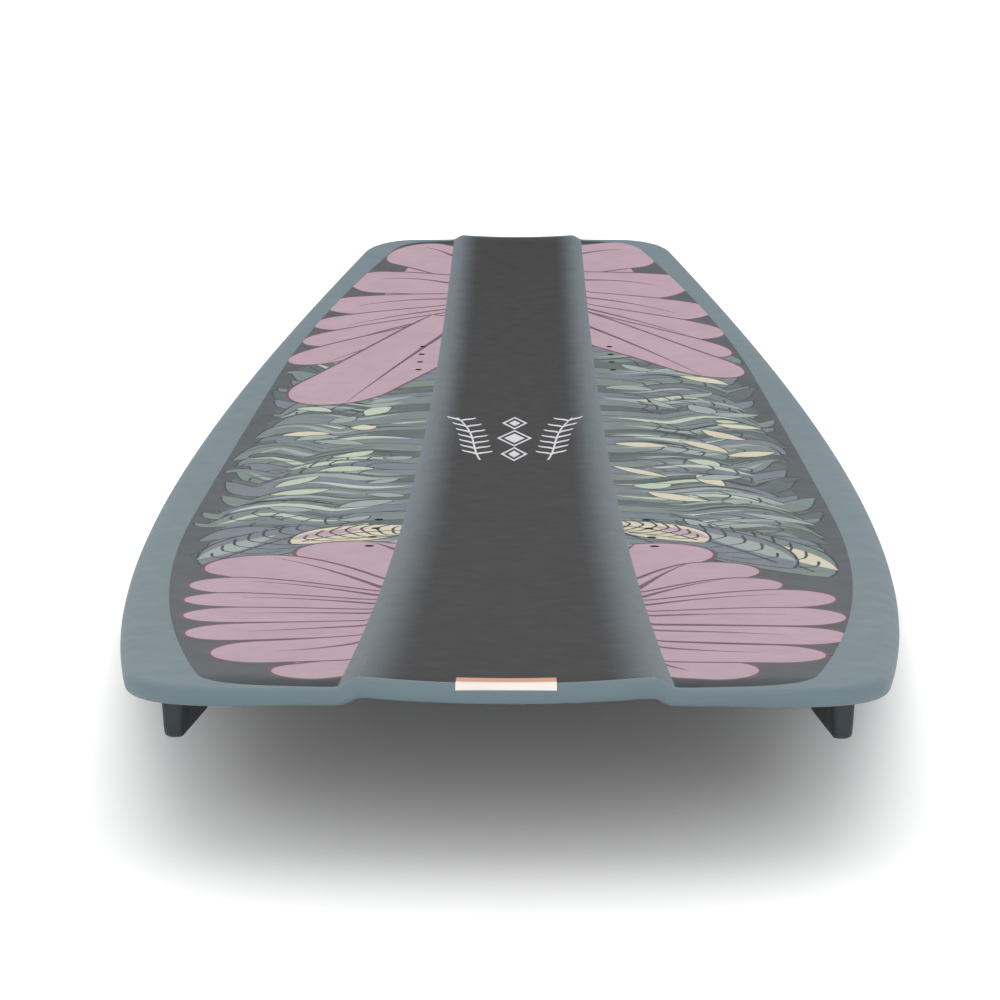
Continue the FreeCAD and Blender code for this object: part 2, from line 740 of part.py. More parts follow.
def fin_body(name):
    """A fin in its own frame: origin on the base, Z into the board, +Y towards the tip."""
    base_r = size("base_radius")
    half = size("fin_foot_length") / 2
    thick = size("fin_foot_thickness")
    body = new_body(name)
    side = new_sketch(body, name + "_foot_side", "YZ_Plane")
    down = -math.pi / 2
    lean = math.asin(half / base_r)
    rise = base_r - math.sqrt(base_r**2 - half**2)
    side.addGeometry(arc((0, base_r), base_r, down - lean, down + lean), False)
    points = [(half, rise), (half, -thick), (-half, -thick), (-half, rise)]
    for here, after in zip(points, points[1:]):
        start = FreeCAD.Vector(here[0], here[1], 0)
        end = FreeCAD.Vector(after[0], after[1], 0)
        side.addGeometry(Part.LineSegment(start, end), False)
    for i in range(4):
        side.addConstraint(Sketcher.Constraint("Coincident", i, 2, (i + 1) % 4, 1))
    pin_point(side, 0, 3, 0.0, base_r, ("", "Sizes.base_radius"))
    bind(side, Sketcher.Constraint("Radius", 0, base_r), "Sizes.base_radius")
    side.addConstraint(Sketcher.Constraint("Vertical", 1))
    side.addConstraint(Sketcher.Constraint("Vertical", 3))
    on_half = "Sizes.fin_foot_length / 2"
    pin_point(side, 1, 2, half, -thick, (on_half, "Sizes.fin_foot_thickness"))
    pin_point(side, 2, 2, -half, -thick, (on_half, "Sizes.fin_foot_thickness"))
    foot = body.newObject("PartDesign::Pad", name + "_foot")
    foot.Profile = side
    foot.Midplane = True
    foot.setExpression("Length", "Sizes.fin_foot_width")
    doc.recompute()
    upright = []
    for index, edge in enumerate(foot.Shape.Edges, start=1):
        box = edge.BoundBox
        if box.ZLength > thick and box.XLength < NEAR and box.YLength < NEAR:
            upright.append(f"Edge{index}")
    corner = body.newObject("PartDesign::Fillet", name + "_foot_corners")
    corner.Base = (foot, upright)
    corner.setExpression("Radius", "Sizes.fin_foot_corner")
    doc.recompute()
    blade = new_sketch(body, name + "_blade_side", "YZ_Plane")
    root, depth = size("fin_blade_root"), size("fin_depth")
    shoulder = depth - size("fin_shoulder")
    on_root, on_depth = "Sizes.fin_blade_root", "Sizes.fin_depth"
    on_shoulder = "Sizes.fin_depth - Sizes.fin_shoulder"
    outline = [
        ("fin_blade_front", 1, root, on_root),
        ("fin_front_shoulder", 1, shoulder, on_shoulder),
        ("fin_front_corner", 1, depth, on_depth),
        ("fin_back_corner", -1, depth, on_depth),
        ("fin_back_shoulder", -1, shoulder, on_shoulder),
        ("fin_blade_back", -1, root, on_root),
    ]
    corners = [(way * size(key), -low, f"Sizes.{key}", on_low) for key, way, low, on_low in outline]
    polygon(blade, corners)
    pad = body.newObject("PartDesign::Pad", name + "_blade")
    pad.Profile = blade
    pad.Midplane = True
    pad.setExpression("Length", "Sizes.fin_blade_thickness")
    doc.recompute()
    cheek = size("fin_blade_thickness") / 2
    rounded = []
    for index, edge in enumerate(pad.Shape.Edges, start=1):
        box = edge.BoundBox
        on_cheek = abs(abs(box.Center.x) - cheek) < NEAR
        if on_cheek and box.ZMax < NEAR - thick and box.ZMin < -thick - NEAR:
            rounded.append(f"Edge{index}")
    soften = body.newObject("PartDesign::Fillet", name + "_blade_edges")
    soften.Base = (pad, rounded)
    soften.setExpression("Radius", "Sizes.fin_blade_round")
    doc.recompute()
    return body


def countersink(name):
    """Space for one fin screw in the fin's foot, on the Z axis."""
    head = size("fin_screw_head_radius") + size("countersink_gap")
    hole, thick = size("fin_screw_hole_radius"), size("fin_foot_thickness")
    seat = thick - (head - hole)
    on_head = "Sizes.fin_screw_head_radius + Sizes.countersink_gap"
    on_hole = "Sizes.fin_screw_hole_radius"
    on_seat = f"Sizes.fin_foot_thickness - ({on_head} - {on_hole})"
    on_low = f"Sizes.fin_foot_thickness + {STICK_OUT}"
    corners = [
        (0.0, STICK_OUT, "", ""),
        (0.0, -thick - STICK_OUT, "", on_low),
        (head, -thick - STICK_OUT, on_head, on_low),
        (head, -thick, on_head, "Sizes.fin_foot_thickness"),
        (hole, -seat, on_hole, on_seat),
        (hole, STICK_OUT, on_hole, ""),
    ]
    return turned_body(name, corners)


def fin_screw(name):
    """Countersunk M5 screw, head down, with a hexagon socket; its shank rises into the nut."""
    head, shank = size("fin_screw_head_radius"), size("fin_screw_radius")
    bottom = size("fin_foot_thickness") - size("fin_screw_recess")
    neck = bottom - (head - shank)
    tip = size("fin_screw_length") - bottom
    on_head, on_shank = "Sizes.fin_screw_head_radius", "Sizes.fin_screw_radius"
    on_bottom = "Sizes.fin_foot_thickness - Sizes.fin_screw_recess"
    on_neck = f"{on_bottom} - ({on_head} - {on_shank})"
    on_tip = f"Sizes.fin_screw_length - ({on_bottom})"
    corners = [
        (0.0, -bottom, "", on_bottom),
        (head, -bottom, on_head, on_bottom),
        (shank, -neck, on_shank, on_neck),
        (shank, tip, on_shank, on_tip),
        (0.0, tip, "", on_tip),
    ]
    body = turned_body(name, corners)
    doc.recompute()
    key = new_sketch(body, name + "_key", "XY_Plane")
    key.setExpression(".AttachmentOffset.Base.z", f"-({on_bottom})")
    reach = size("hex_key_across") / math.sqrt(3)
    ring = [(reach * math.cos(math.pi / 3 * i), reach * math.sin(math.pi / 3 * i)) for i in range(6)]
    for i in range(6):
        here, after = ring[i], ring[(i + 1) % 6]
        start = FreeCAD.Vector(here[0], here[1], 0)
        end = FreeCAD.Vector(after[0], after[1], 0)
        key.addGeometry(Part.LineSegment(start, end), False)
    rim = Part.Circle(FreeCAD.Vector(0, 0, 0), FreeCAD.Vector(0, 0, 1), reach)
    circle = key.addGeometry(rim, True)
    for i in range(6):
        key.addConstraint(Sketcher.Constraint("Coincident", i, 2, (i + 1) % 6, 1))
        key.addConstraint(Sketcher.Constraint("PointOnObject", i, 1, circle))
        if i:
            key.addConstraint(Sketcher.Constraint("Equal", 0, i))
    key.addConstraint(Sketcher.Constraint("Coincident", circle, 3, -1, 1))
    key.addConstraint(Sketcher.Constraint("PointOnObject", 0, 1, -1))
    bind(key, Sketcher.Constraint("Radius", circle, reach), "Sizes.hex_key_across / sqrt(3)")
    socket = body.newObject("PartDesign::Pocket", name + "_socket")
    socket.Profile = key
    socket.setExpression("Length", "Sizes.hex_key_depth")
    socket.Reversed = True
    key.Visibility = False
    doc.recompute()
    return body


def base_place(side, end):
    """Frame of one fin: on the base, Z into the board along its normal, +Y towards the tip."""
    along = size("fin_along")
    base_r = size("base_radius")
    lean = math.asin(along / base_r)
    height = base_r * (1 - math.cos(lean))
    place = tilted(side * size("fin_across"), end * along, height, end * math.degrees(lean))
    if end < 0:
        place = place.multiply(FreeCAD.Placement(FreeCAD.Vector(), FreeCAD.Rotation(180, 0, 0)))
    return place


sample_nut = fin_nut("sample_nut")
sample_nut_void = plug(
    "sample_nut_void", "Sizes.fin_nut_radius", f"0 - {STICK_OUT}", "Sizes.fin_nut_length"
)
sample_nut_flange_void = plug(
    "sample_nut_flange_void",
    "Sizes.fin_nut_flange_radius",
    "Sizes.fin_nut_length - Sizes.fin_nut_flange_thickness",
    "Sizes.fin_nut_length",
)
sample_nut_space = group("sample_nut_space", [sample_nut_void, sample_nut_flange_void])
sample_fin = fin_body("sample_fin")
sample_countersink = countersink("sample_countersink")
sample_screw = fin_screw("sample_screw")
doc.recompute()

screw_stations = (-size("fin_screw_half_pitch"), size("fin_screw_half_pitch"))
foot_sinks = []
for number, station in enumerate(screw_stations):
    spot = FreeCAD.Placement(FreeCAD.Vector(0, station, 0), FreeCAD.Rotation())
    foot_sinks.append(linked_at(f"fin_sink_{number}", sample_countersink, spot))
drilled_fin = cut("drilled_fin", sample_fin, group("fin_sinks", foot_sinks))

nut_spaces = []
for corner, (side, end) in CORNERS.items():
    place = base_place(side, end)
    PARTS[f"fin_{corner}"] = linked_at(f"fin_{corner}", drilled_fin, place)
    PARTS[f"fin_{corner}"].Label = f"fin_{corner}"
    nuts = []
    screws = []
    for number, station in enumerate(screw_stations):
        # the base curves up by this much at the screw, so the nut's mouth sits on the base
        climb = size("base_radius") - math.sqrt(size("base_radius") ** 2 - station**2)
        on_base = place.multiply(FreeCAD.Placement(FreeCAD.Vector(0, station, climb), FreeCAD.Rotation()))
        on_foot = place.multiply(FreeCAD.Placement(FreeCAD.Vector(0, station, 0), FreeCAD.Rotation()))
        nuts.append(linked_at(f"nut_{corner}_{number}", sample_nut, on_base))
        nut_spaces.append(linked_at(f"nut_space_{corner}_{number}", sample_nut_space, on_base))
        screws.append(linked_at(f"screw_{corner}_{number}", sample_screw, on_foot))
    PARTS[f"fin_nuts_{corner}"] = group(f"fin_nuts_{corner}", nuts)
    PARTS[f"fin_screws_{corner}"] = group(f"fin_screws_{corner}", screws)
nut_voids = group("nut_voids", nut_spaces)
doc.recompute()


# ---------------------------------------------------------------------------------------------
# Layers and rail with the fittings let in
# ---------------------------------------------------------------------------------------------

core_pockets = group("core_pockets", [nut_voids, *block_list])
PARTS["foam_core"] = cut("foam_core", core_whole, core_pockets)
PARTS["upper_glass"] = cut("upper_glass", top_glass_whole, insert_voids)
PARTS["deck_sheet"] = cut("deck_sheet", deck_sheet_whole, sheet_holes)
PARTS["lower_glass"] = cut("lower_glass", bottom_glass_whole, nut_voids)
PARTS["base_sheet"] = cut("base_sheet", base_sheet_whole, nut_voids)
doc.recompute()


def outer_edges(shape, upper):
    """Numbers of the edges where the rail's outer wall meets its top, or its base."""
    found = []
    walls = [face for face in shape.Faces if outward_wall(face)]
    for index, edge in enumerate(shape.Edges, start=1):
        owners = [face for face in walls if any(e.isSame(edge) for e in face.Edges)]
        if len(owners) != 1:
            continue
        middle = edge.valueAt((edge.FirstParameter + edge.LastParameter) / 2)
        along = abs(middle.y)
        base_r = size("base_radius")
        floor = base_r - math.sqrt(base_r**2 - along**2)
        on_top = middle.z - floor > size("tip_thickness") * 0.7
        if on_top == upper:
            found.append(index)
    return found


def outward_wall(face):
    """True for an upright face on the board's own outline, not on the panel's."""
    u0, u1, v0, v1 = face.ParameterRange
    normal = face.normalAt((u0 + u1) / 2, (v0 + v1) / 2)
    if abs(normal.z) > NEAR:
        return False
    centre = face.valueAt((u0 + u1) / 2, (v0 + v1) / 2)
    return normal.x * centre.x + normal.y * centre.y > 0


rounded_rail = doc.addObject("Part::Fillet", "rounded_rail")
rounded_rail.Base = rail_ring
top_edges = outer_edges(rail_ring.Shape, True)
base_edges = outer_edges(rail_ring.Shape, False)
top_round = size("rail_top_round")
base_round = size("rail_base_round")
rounded_rail.Edges = [(i, top_round, top_round) for i in top_edges] + [
    (i, base_round, base_round) for i in base_edges
]
doc.recompute()

# the rail is two strips that meet end to end at both tips
drilled_rail = cut("drilled_rail", rounded_rail, nut_voids)
for side_name, side in (("left", -1), ("right", 1)):
    side_blank = doc.addObject("Part::Box", f"side_blank_{side_name}")
    side_blank.setExpression("Length", "Sizes.board_width")
    side_blank.setExpression("Width", "Sizes.board_length + 2 * Sizes.rail_top_round")
    side_blank.setExpression("Height", "Sizes.board_length / 5")
    start = min(side, 0) * size("board_width")
    side_blank.Placement.Base = FreeCAD.Vector(start, -size("tip_at") - top_round, -DEEP)
    PARTS[f"rail_{side_name}"] = common(f"rail_{side_name}", drilled_rail, side_blank)
doc.recompute()


# ---------------------------------------------------------------------------------------------
# Label at the tail end of the spine, laid over the dish
# ---------------------------------------------------------------------------------------------

over_label = below_deck("over_label", -size("label_thickness"), "0 - Sizes.label_thickness")
label_blank = doc.addObject("Part::Box", "label_blank")
label_blank.setExpression("Length", "Sizes.label_width")
label_blank.setExpression("Width", "Sizes.label_length")
label_blank.setExpression("Height", "Sizes.board_length / 10")
label_start = size("label_edge_gap") - size("tip_at")
label_blank.Placement.Base = FreeCAD.Vector(-size("label_width") / 2, label_start, 0)
label_column = common("label_column", label_blank, over_label)
PARTS["deck_label"] = cut("deck_label", label_column, deck_top)
doc.recompute()


# ---------------------------------------------------------------------------------------------
# Checks, then one file for each part
# ---------------------------------------------------------------------------------------------

failed = [o.Name for o in doc.Objects if "Invalid" in o.State or "Error" in o.State]
if failed:
    raise RuntimeError(f"these objects failed: {failed}")
for name, item in PARTS.items():
    if item.Label != name:
        raise RuntimeError(f"{name} is labelled {item.Label}")
    if item.Shape.isNull() or not item.Shape.isValid() or not item.Shape.Solids:
        raise RuntimeError(f"{name} has no valid solid")
screw_blank = doc.getObject("sample_screw_turn").Shape.Volume
screw_loss = screw_blank - sample_screw.Shape.Volume
socket_volume = size("hex_key_across") ** 2 * math.sqrt(3) / 2 * size("hex_key_depth")
if abs(screw_loss - socket_volume) > 0.05 * socket_volume:
    raise RuntimeError(f"the screw's socket removed {screw_loss:.2f} mm3")
for name, item in PARTS.items():
    item.Shape.exportStep(f"parts/{name}.step")
    print(f"{name}: {len(item.Shape.Solids)} solid(s), {item.Shape.Volume / 1000:.2f} cm3")
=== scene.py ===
"""Looks of a twin-tip wakeboard: printed deck, moulded rail, base, fins and a blank label.

The CAD frame gives the board's size and places.  Lengths are in metres, and the artwork on the
deck is laid out in millimetres: u is the distance out from the board's middle line, y runs
along the board towards the nose.
"""

import json
import random
from math import asin, atan2, copysign, cos, dist, hypot, pi, radians, sin, sqrt

import bmesh
import bpy
from mathutils import Matrix, Vector
from mathutils.bvhtree import BVHTree
from mathutils.geometry import delaunay_2d_cdt


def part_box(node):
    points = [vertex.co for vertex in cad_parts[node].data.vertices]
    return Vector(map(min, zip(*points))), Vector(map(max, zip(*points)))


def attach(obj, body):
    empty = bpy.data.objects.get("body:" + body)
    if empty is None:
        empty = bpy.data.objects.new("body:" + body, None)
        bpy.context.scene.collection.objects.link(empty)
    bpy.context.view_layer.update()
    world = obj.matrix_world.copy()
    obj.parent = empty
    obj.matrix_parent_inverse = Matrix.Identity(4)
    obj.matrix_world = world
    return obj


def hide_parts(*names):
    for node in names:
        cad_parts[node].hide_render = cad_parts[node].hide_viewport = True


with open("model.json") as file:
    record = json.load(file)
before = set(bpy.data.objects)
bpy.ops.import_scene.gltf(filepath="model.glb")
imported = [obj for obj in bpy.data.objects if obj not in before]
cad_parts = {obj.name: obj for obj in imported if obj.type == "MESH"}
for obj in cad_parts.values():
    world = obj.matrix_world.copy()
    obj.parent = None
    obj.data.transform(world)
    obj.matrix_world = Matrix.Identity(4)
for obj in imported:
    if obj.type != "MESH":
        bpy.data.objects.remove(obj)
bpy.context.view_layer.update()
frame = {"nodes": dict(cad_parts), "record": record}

MM = 0.001

# ---- The board's shape, in millimetres ----


def corners_mm(node):
    low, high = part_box(node)
    return low / MM, high / MM


HALF_WIDTH, HALF_LENGTH, _ = corners_mm("rail_right")[1]
PANEL_HALF_WIDTH, PANEL_HALF_LENGTH, _ = corners_mm("deck_sheet")[1]
SHEET = 0.5  # thickness of the deck sheet and the base sheet
MIDDLE_HEIGHT = corners_mm("deck_sheet")[0].z + SHEET

SPINE_BASE = 62.2  # half widths of the raised spine, at its foot and along its shoulders
SPINE_TOP = 54.2
SPINE_RISE = 4.5
SPINE_DISH = 2.4  # how far the spine is hollowed between its shoulders
SPINE_SLOPE = SPINE_RISE / (SPINE_BASE - SPINE_TOP)
HOLLOW_START = 300.0  # the hollow under the spine runs from here to its full depth at the tip
HOLLOW_DEPTH = 3.2
ROUNDING = 0.8  # how far the spine's corners are eased
SEAM = 0.25  # depth of the groove between the panel and the rail
SEAM_WIDTH = 1.0
CRISP = 0.05  # rounding on the sheets' hidden sides
OFF_SPINE = 1.4 * SPINE_BASE  # the wings beyond this are clear of the spine's rounding
TIP_REACH = 1.0  # points this near the end belong to the tip


def arc_radius(node, level, pick):
    """Radius of the long arc that leaves level at the middle and meets the node's tip."""
    points = [vertex.co / MM for vertex in frame["nodes"][node].data.vertices]
    wing = [p for p in points if abs(p.x) > OFF_SPINE]
    reach = max(abs(p.y) for p in wing)
    tip = pick((p for p in wing if abs(p.y) > reach - TIP_REACH), key=lambda p: p.z)
    climb = tip.z - level
    return (tip.y**2 + climb**2) / (2 * climb)


DECK_RADIUS = arc_radius("deck_sheet", MIDDLE_HEIGHT, max)
BASE_RADIUS = arc_radius("base_sheet", 0.0, min)
# the hollow's arc is tighter than the base's, and starts below it at the middle
HOLLOW_GAIN = 2 * HOLLOW_DEPTH / (HALF_LENGTH**2 - HOLLOW_START**2)
HOLLOW_SINK = HOLLOW_GAIN * HOLLOW_START**2 / 2
HOLLOW_RADIUS = 1 / (1 / BASE_RADIUS + HOLLOW_GAIN)


def blend_max(a, b, ease):
    """The larger number, with a rounded change from one to the other."""
    return (a + b + sqrt((a - b) ** 2 + ease**2)) / 2


def blend_min(a, b, ease):
    return (a + b - sqrt((a - b) ** 2 + ease**2)) / 2


def smooth_share(value):
    """0 up to 0 and 1 from 1 on, with a soft rise between."""
    share = min(max(value, 0.0), 1.0)
    return share * share * (3 - 2 * share)


def ridge(x, ease=ROUNDING):
    """Height of the spine's section above the wings."""
    flank = (SPINE_BASE - abs(x)) * SPINE_SLOPE
    dish = SPINE_RISE - SPINE_DISH * (1 - (x / SPINE_TOP) ** 2)
    return blend_max(0.0, blend_min(flank, dish, ease), ease)


def deck_height(x, y, ease=ROUNDING):
    radius = DECK_RADIUS - ridge(x, ease)
    return MIDDLE_HEIGHT + DECK_RADIUS - sqrt(radius**2 - y**2)


def base_height(x, y, ease=ROUNDING):
    """The base's arc, with a hollow under the spine towards each tip."""
    plain = BASE_RADIUS - sqrt(BASE_RADIUS**2 - y**2)
    flank = -(abs(x) - SPINE_TOP) * SPINE_SLOPE
    dish = -SPINE_DISH * (1 - (x / SPINE_TOP) ** 2)
    roof = blend_min(flank, dish, ease) - HOLLOW_SINK
    hollow = HOLLOW_RADIUS - sqrt((HOLLOW_RADIUS - roof) ** 2 - y**2)
    return blend_max(plain, hollow, ease)


class Outline:
    """A plan outline, symmetric about both axes: waist and side arcs, corner arcs, tip arcs."""

    def __init__(self, half_width, half_length, side_radius, corner_radius, tip_radius, waist=None):
        """waist is a radius and the y at which the waist arc meets the side arc."""
        waist_radius, self.waist_half = waist or (side_radius, 0.0)
        lean = asin(self.waist_half / waist_radius)
        self.waist = (half_width - waist_radius, 0.0, waist_radius)
        closer = waist_radius - side_radius
        side_x = self.waist[0] + closer * cos(lean)
        self.side = (side_x, closer * sin(lean), side_radius)
        self.tip = (0.0, half_length - tip_radius, tip_radius)
        self.corner = self.corner_circle(corner_radius)
        across, along, _ = self.corner
        self.first = atan2(along - self.side[1], across - self.side[0])
        self.last = atan2(along - self.tip[1], across)
        self.corner_low = self.corner_point(0.0)
        self.corner_high = self.corner_point(1.0)

    def corner_circle(self, radius):
        """The circle that touches the side arc and the tip arc from inside."""
        a, b = self.side[2] - radius, self.tip[2] - radius
        dx, dy = self.tip[0] - self.side[0], self.tip[1] - self.side[1]
        span = hypot(dx, dy)
        along = (a**2 - b**2 + span**2) / (2 * span)
        off = sqrt(a**2 - along**2)
        x = self.side[0] + (along * dx - off * dy) / span
        y = self.side[1] + (along * dy + off * dx) / span
        return (x, y, radius)

    def side_point(self, share):
        """share runs from 0 at the middle of the board to 1 where the corner begins."""
        y = share * self.corner_low[1]
        x0, y0, radius = self.waist if y < self.waist_half else self.side
        return (x0 + sqrt(radius**2 - (y - y0) ** 2), y)

    def corner_point(self, share):
        x0, y0, radius = self.corner
        angle = self.first + share * (self.last - self.first)
        return (x0 + radius * cos(angle), y0 + radius * sin(angle))

    def tip_point(self, x):
        return (x, self.tip[1] + sqrt(self.tip[2] ** 2 - x**2))


BOARD = Outline(
    HALF_WIDTH, HALF_LENGTH, side_radius=2873.0, corner_radius=48.0, tip_radius=2000.0
)
PANEL = Outline(
    PANEL_HALF_WIDTH,
    PANEL_HALF_LENGTH,
    side_radius=1790.0,
    corner_radius=36.0,
    tip_radius=600.0,
    waist=(6000.0, 220.0),
)


def spread(start, end, count):
    """Evenly spaced numbers from start to end, with count steps between them."""
    return [start + (end - start) * i / count for i in range(count + 1)]


def between(a, b, share):
    """The point at a share of the way from a to b."""
    return tuple(p + (q - p) * share for p, q in zip(a, b))


def circle(x, y, radius, count):
    angles = [2 * pi * i / count for i in range(count)]
    return [(x + radius * cos(a), y + radius * sin(a)) for a in angles]


# distances from the middle line where the spine's section needs points, most at its bends
STATIONS = [
    *spread(0.0, 48.0, 6),
    *spread(50.0, SPINE_TOP - 1.0, 2),
    *spread(SPINE_TOP - 0.4, SPINE_TOP + 2.4, 5),
    *spread(SPINE_TOP + 4.0, SPINE_BASE - 2.6, 2),
    *spread(SPINE_BASE - 2.0, SPINE_BASE + 1.6, 6),
    *spread(SPINE_BASE + 3.0, SPINE_BASE + 6.0, 1),
]
SIDE_STEPS = 72  # points along each arc of a quarter of an outline
CORNER_STEPS = 16
TIP_STEPS = 10


def outline_loop(outline):
    """Points round an outline; equal places on two outlines have equal numbers."""
    quarter = [outline.side_point(s) for s in spread(0.0, 1.0, SIDE_STEPS)]
    quarter += [outline.corner_point(s) for s in spread(0.0, 1.0, CORNER_STEPS)[1:]]
    outer = spread(outline.corner_high[0], STATIONS[-1], TIP_STEPS)[1:]
    quarter += [outline.tip_point(x) for x in outer + STATIONS[-2::-1]]
    back = quarter[::-1]
    half = quarter + [(-x, y) for x, y in back[1:]]
    return half + [(-x, -y) for x, y in quarter[1:]] + [(x, -y) for x, y in back[1:-1]]


# ---- Mesh helpers ----


WELD = 1e-4  # points of a flat drawing nearer than this are one


def add_object(name, data):
    made = bpy.data.objects.new(name, data)
    bpy.context.scene.collection.objects.link(made)
    return made


def new_object(name, points_mm, faces, materials, face_materials=None, sharp_degrees=35.0):
    """A smooth-shaded mesh object from points in millimetres."""
    mesh = bpy.data.meshes.new(name)
    mesh.from_pydata([Vector(p) * MM for p in points_mm], [], faces)
    for material in materials:
        mesh.materials.append(material)
    if face_materials:
        mesh.polygons.foreach_set("material_index", face_materials)
    mesh.shade_smooth()
    mesh.set_sharp_from_angle(angle=radians(sharp_degrees))
    mesh.validate()
    return add_object(name, mesh)


def ring_faces(rings, count, closed):
    """Quads between rings of count points; closed joins the last ring to the first."""
    faces = []
    for ring in range(rings if closed else rings - 1):
        low = ring * count
        high = (ring + 1) % rings * count
        for i in range(count):
            j = (i + 1) % count
            faces.append((low + i, low + j, high + j, high + i))
    return faces


def stacked_faces(rings, count):
    """Faces of a closed body made of stacked rings, with flat ends."""
    first = tuple(range(count - 1, -1, -1))
    last = tuple(range((rings - 1) * count, rings * count))
    return ring_faces(rings, count, closed=False) + [first, last]


def face_outwards(piece):
    """Turns every face of a closed mesh to look outwards."""
    work = bmesh.new()
    work.from_mesh(piece.data)
    bmesh.ops.recalc_face_normals(work, faces=work.faces)
    work.to_mesh(piece.data)
    work.free()


def edges_of(loop):
    """Pairs of neighbours round a loop."""
    return zip(loop, loop[1:] + loop[:1])


def signed_area(outline):
    """Twice the area inside a closed outline, positive when it runs anticlockwise."""
    return sum(a[0] * b[1] - b[0] * a[1] for a, b in edges_of(outline))


def compacted(points, groups):
    """The points that groups of numbers use, and the groups renumbered to match."""
    used = sorted({i for group in groups for i in group})
    number = {old: new for new, old in enumerate(used)}
    return [points[i] for i in used], [tuple(number[i] for i in group) for group in groups]


def ink_borders(faces, inks):
    """Edges where the ink changes or the drawing ends."""
    ink_of = {}
    for face, ink in zip(faces, inks):
        for edge in edges_of(face):
            ink_of[edge] = ink
    borders = []
    for (a, b), ink in ink_of.items():
        if ink != ink_of.get((b, a)) and (a < b or (b, a) not in ink_of):
            borders.append((a, b))
    return borders


class Plan:
    """A flat drawing of closed areas, each over the earlier ones, made into triangles."""

    def __init__(self, outline):
        self.areas = []
        self.inks = []
        self.lines = []  # lines and spots that the triangles must also follow
        self.spots = []
        self.add_area(outline, 0)

    def add_area(self, outline, ink):
        """ink is a material's number, or None for a hole."""
        self.areas.append(outline if signed_area(outline) > 0 else outline[::-1])
        self.inks.append(ink)

    def inked(self):
        """The drawing cut up along all its outlines: points, triangles and their inks."""
        points = []
        rings = []
        for area in self.areas:
            rings.append(list(range(len(points), len(points) + len(area))))
            points += area
        points = [Vector(p) for p in points]
        flat, _, faces, _, _, covers = delaunay_2d_cdt(points, [], rings, 0, WELD)
        inks = []
        for over in covers:
            hole = any(self.inks[c] is None for c in over)
            inks.append(None if hole or 0 not in over else self.inks[max(over)])
        return flat, faces, inks

    def triangles(self):
        """Points, triangles and inks, cut where the ink changes and along the added lines."""
        flat, faces, inks = self.inked()
        points, edges = compacted(flat, ink_borders(faces, inks))
        for line in self.lines:
            edges += [(len(points) + i, len(points) + i + 1) for i in range(len(line) - 1)]
            points += line
        points = [Vector(p) for p in points + self.spots]
        final, _, pieces, _, _, _ = delaunay_2d_cdt(points, edges, [], 0, WELD)
        lookup = BVHTree.FromPolygons([(p.x, p.y, 0.0) for p in flat], faces)
        kept = []
        kept_inks = []
        for piece in pieces:
            x = sum(final[i].x for i in piece) / 3
            y = sum(final[i].y for i in piece) / 3
            found = lookup.ray_cast(Vector((x, y, 1.0)), Vector((0.0, 0.0, -1.0)))[2]
            if found is not None and inks[found] is not None:
                kept.append(piece)
                kept_inks.append(inks[found])
        return (*compacted(final, kept), kept_inks)


def border_edges(faces):
    """Directed edges that only one face has."""
    directed = {edge for face in faces for edge in edges_of(face)}
    return [(a, b) for a, b in directed if (b, a) not in directed]


def shell_faces(faces, count):
    """Faces of a thin closed shell: the upper ones, the lower ones turned over, then the rim."""
    lower = [tuple(i + count for i in reversed(face)) for face in faces]
    return faces + lower + [(b, a, a + count, b + count) for a, b in border_edges(faces)]


def skin(name, plan, height, depth, materials, seam=0.0):
    """A thin closed sheet over a plan.  height gives its outer side, the inner is depth above."""
    flat, faces, inks = plan.triangles()
    rim = {i for edge in border_edges(faces) for i in edge if on_panel_edge(flat[i])}
    outer = []
    for i, p in enumerate(flat):
        outer.append((p.x, p.y, height(p.x, p.y) - (seam if i in rim else 0.0)))
    inner = [(p.x, p.y, height(p.x, p.y, CRISP) + depth) for p in flat]
    points = outer + inner if depth < 0 else inner + outer
    all_faces = shell_faces(faces, len(flat))
    inks += [0] * (len(all_faces) - len(faces))
    return new_object(name, points, all_faces, materials, inks)


EDGE_ZONE = 60.0  # the panel's outline is within this of its box, the inserts' holes aren't


def on_panel_edge(p):
    """True for a point on the panel's outline, but not round an insert's hole."""
    return abs(p.x) > PANEL_HALF_WIDTH - EDGE_ZONE or abs(p.y) > PANEL_HALF_LENGTH - EDGE_ZONE


# ---- Materials ----


def linear(colour):
    """Linear values of an sRGB colour given as 0 to 255."""
    out = []
    for channel in colour:
        c = channel / 255
        out.append(c / 12.92 if c <= 0.04045 else ((c + 0.055) / 1.055) ** 2.4)
    return (*out, 1.0)


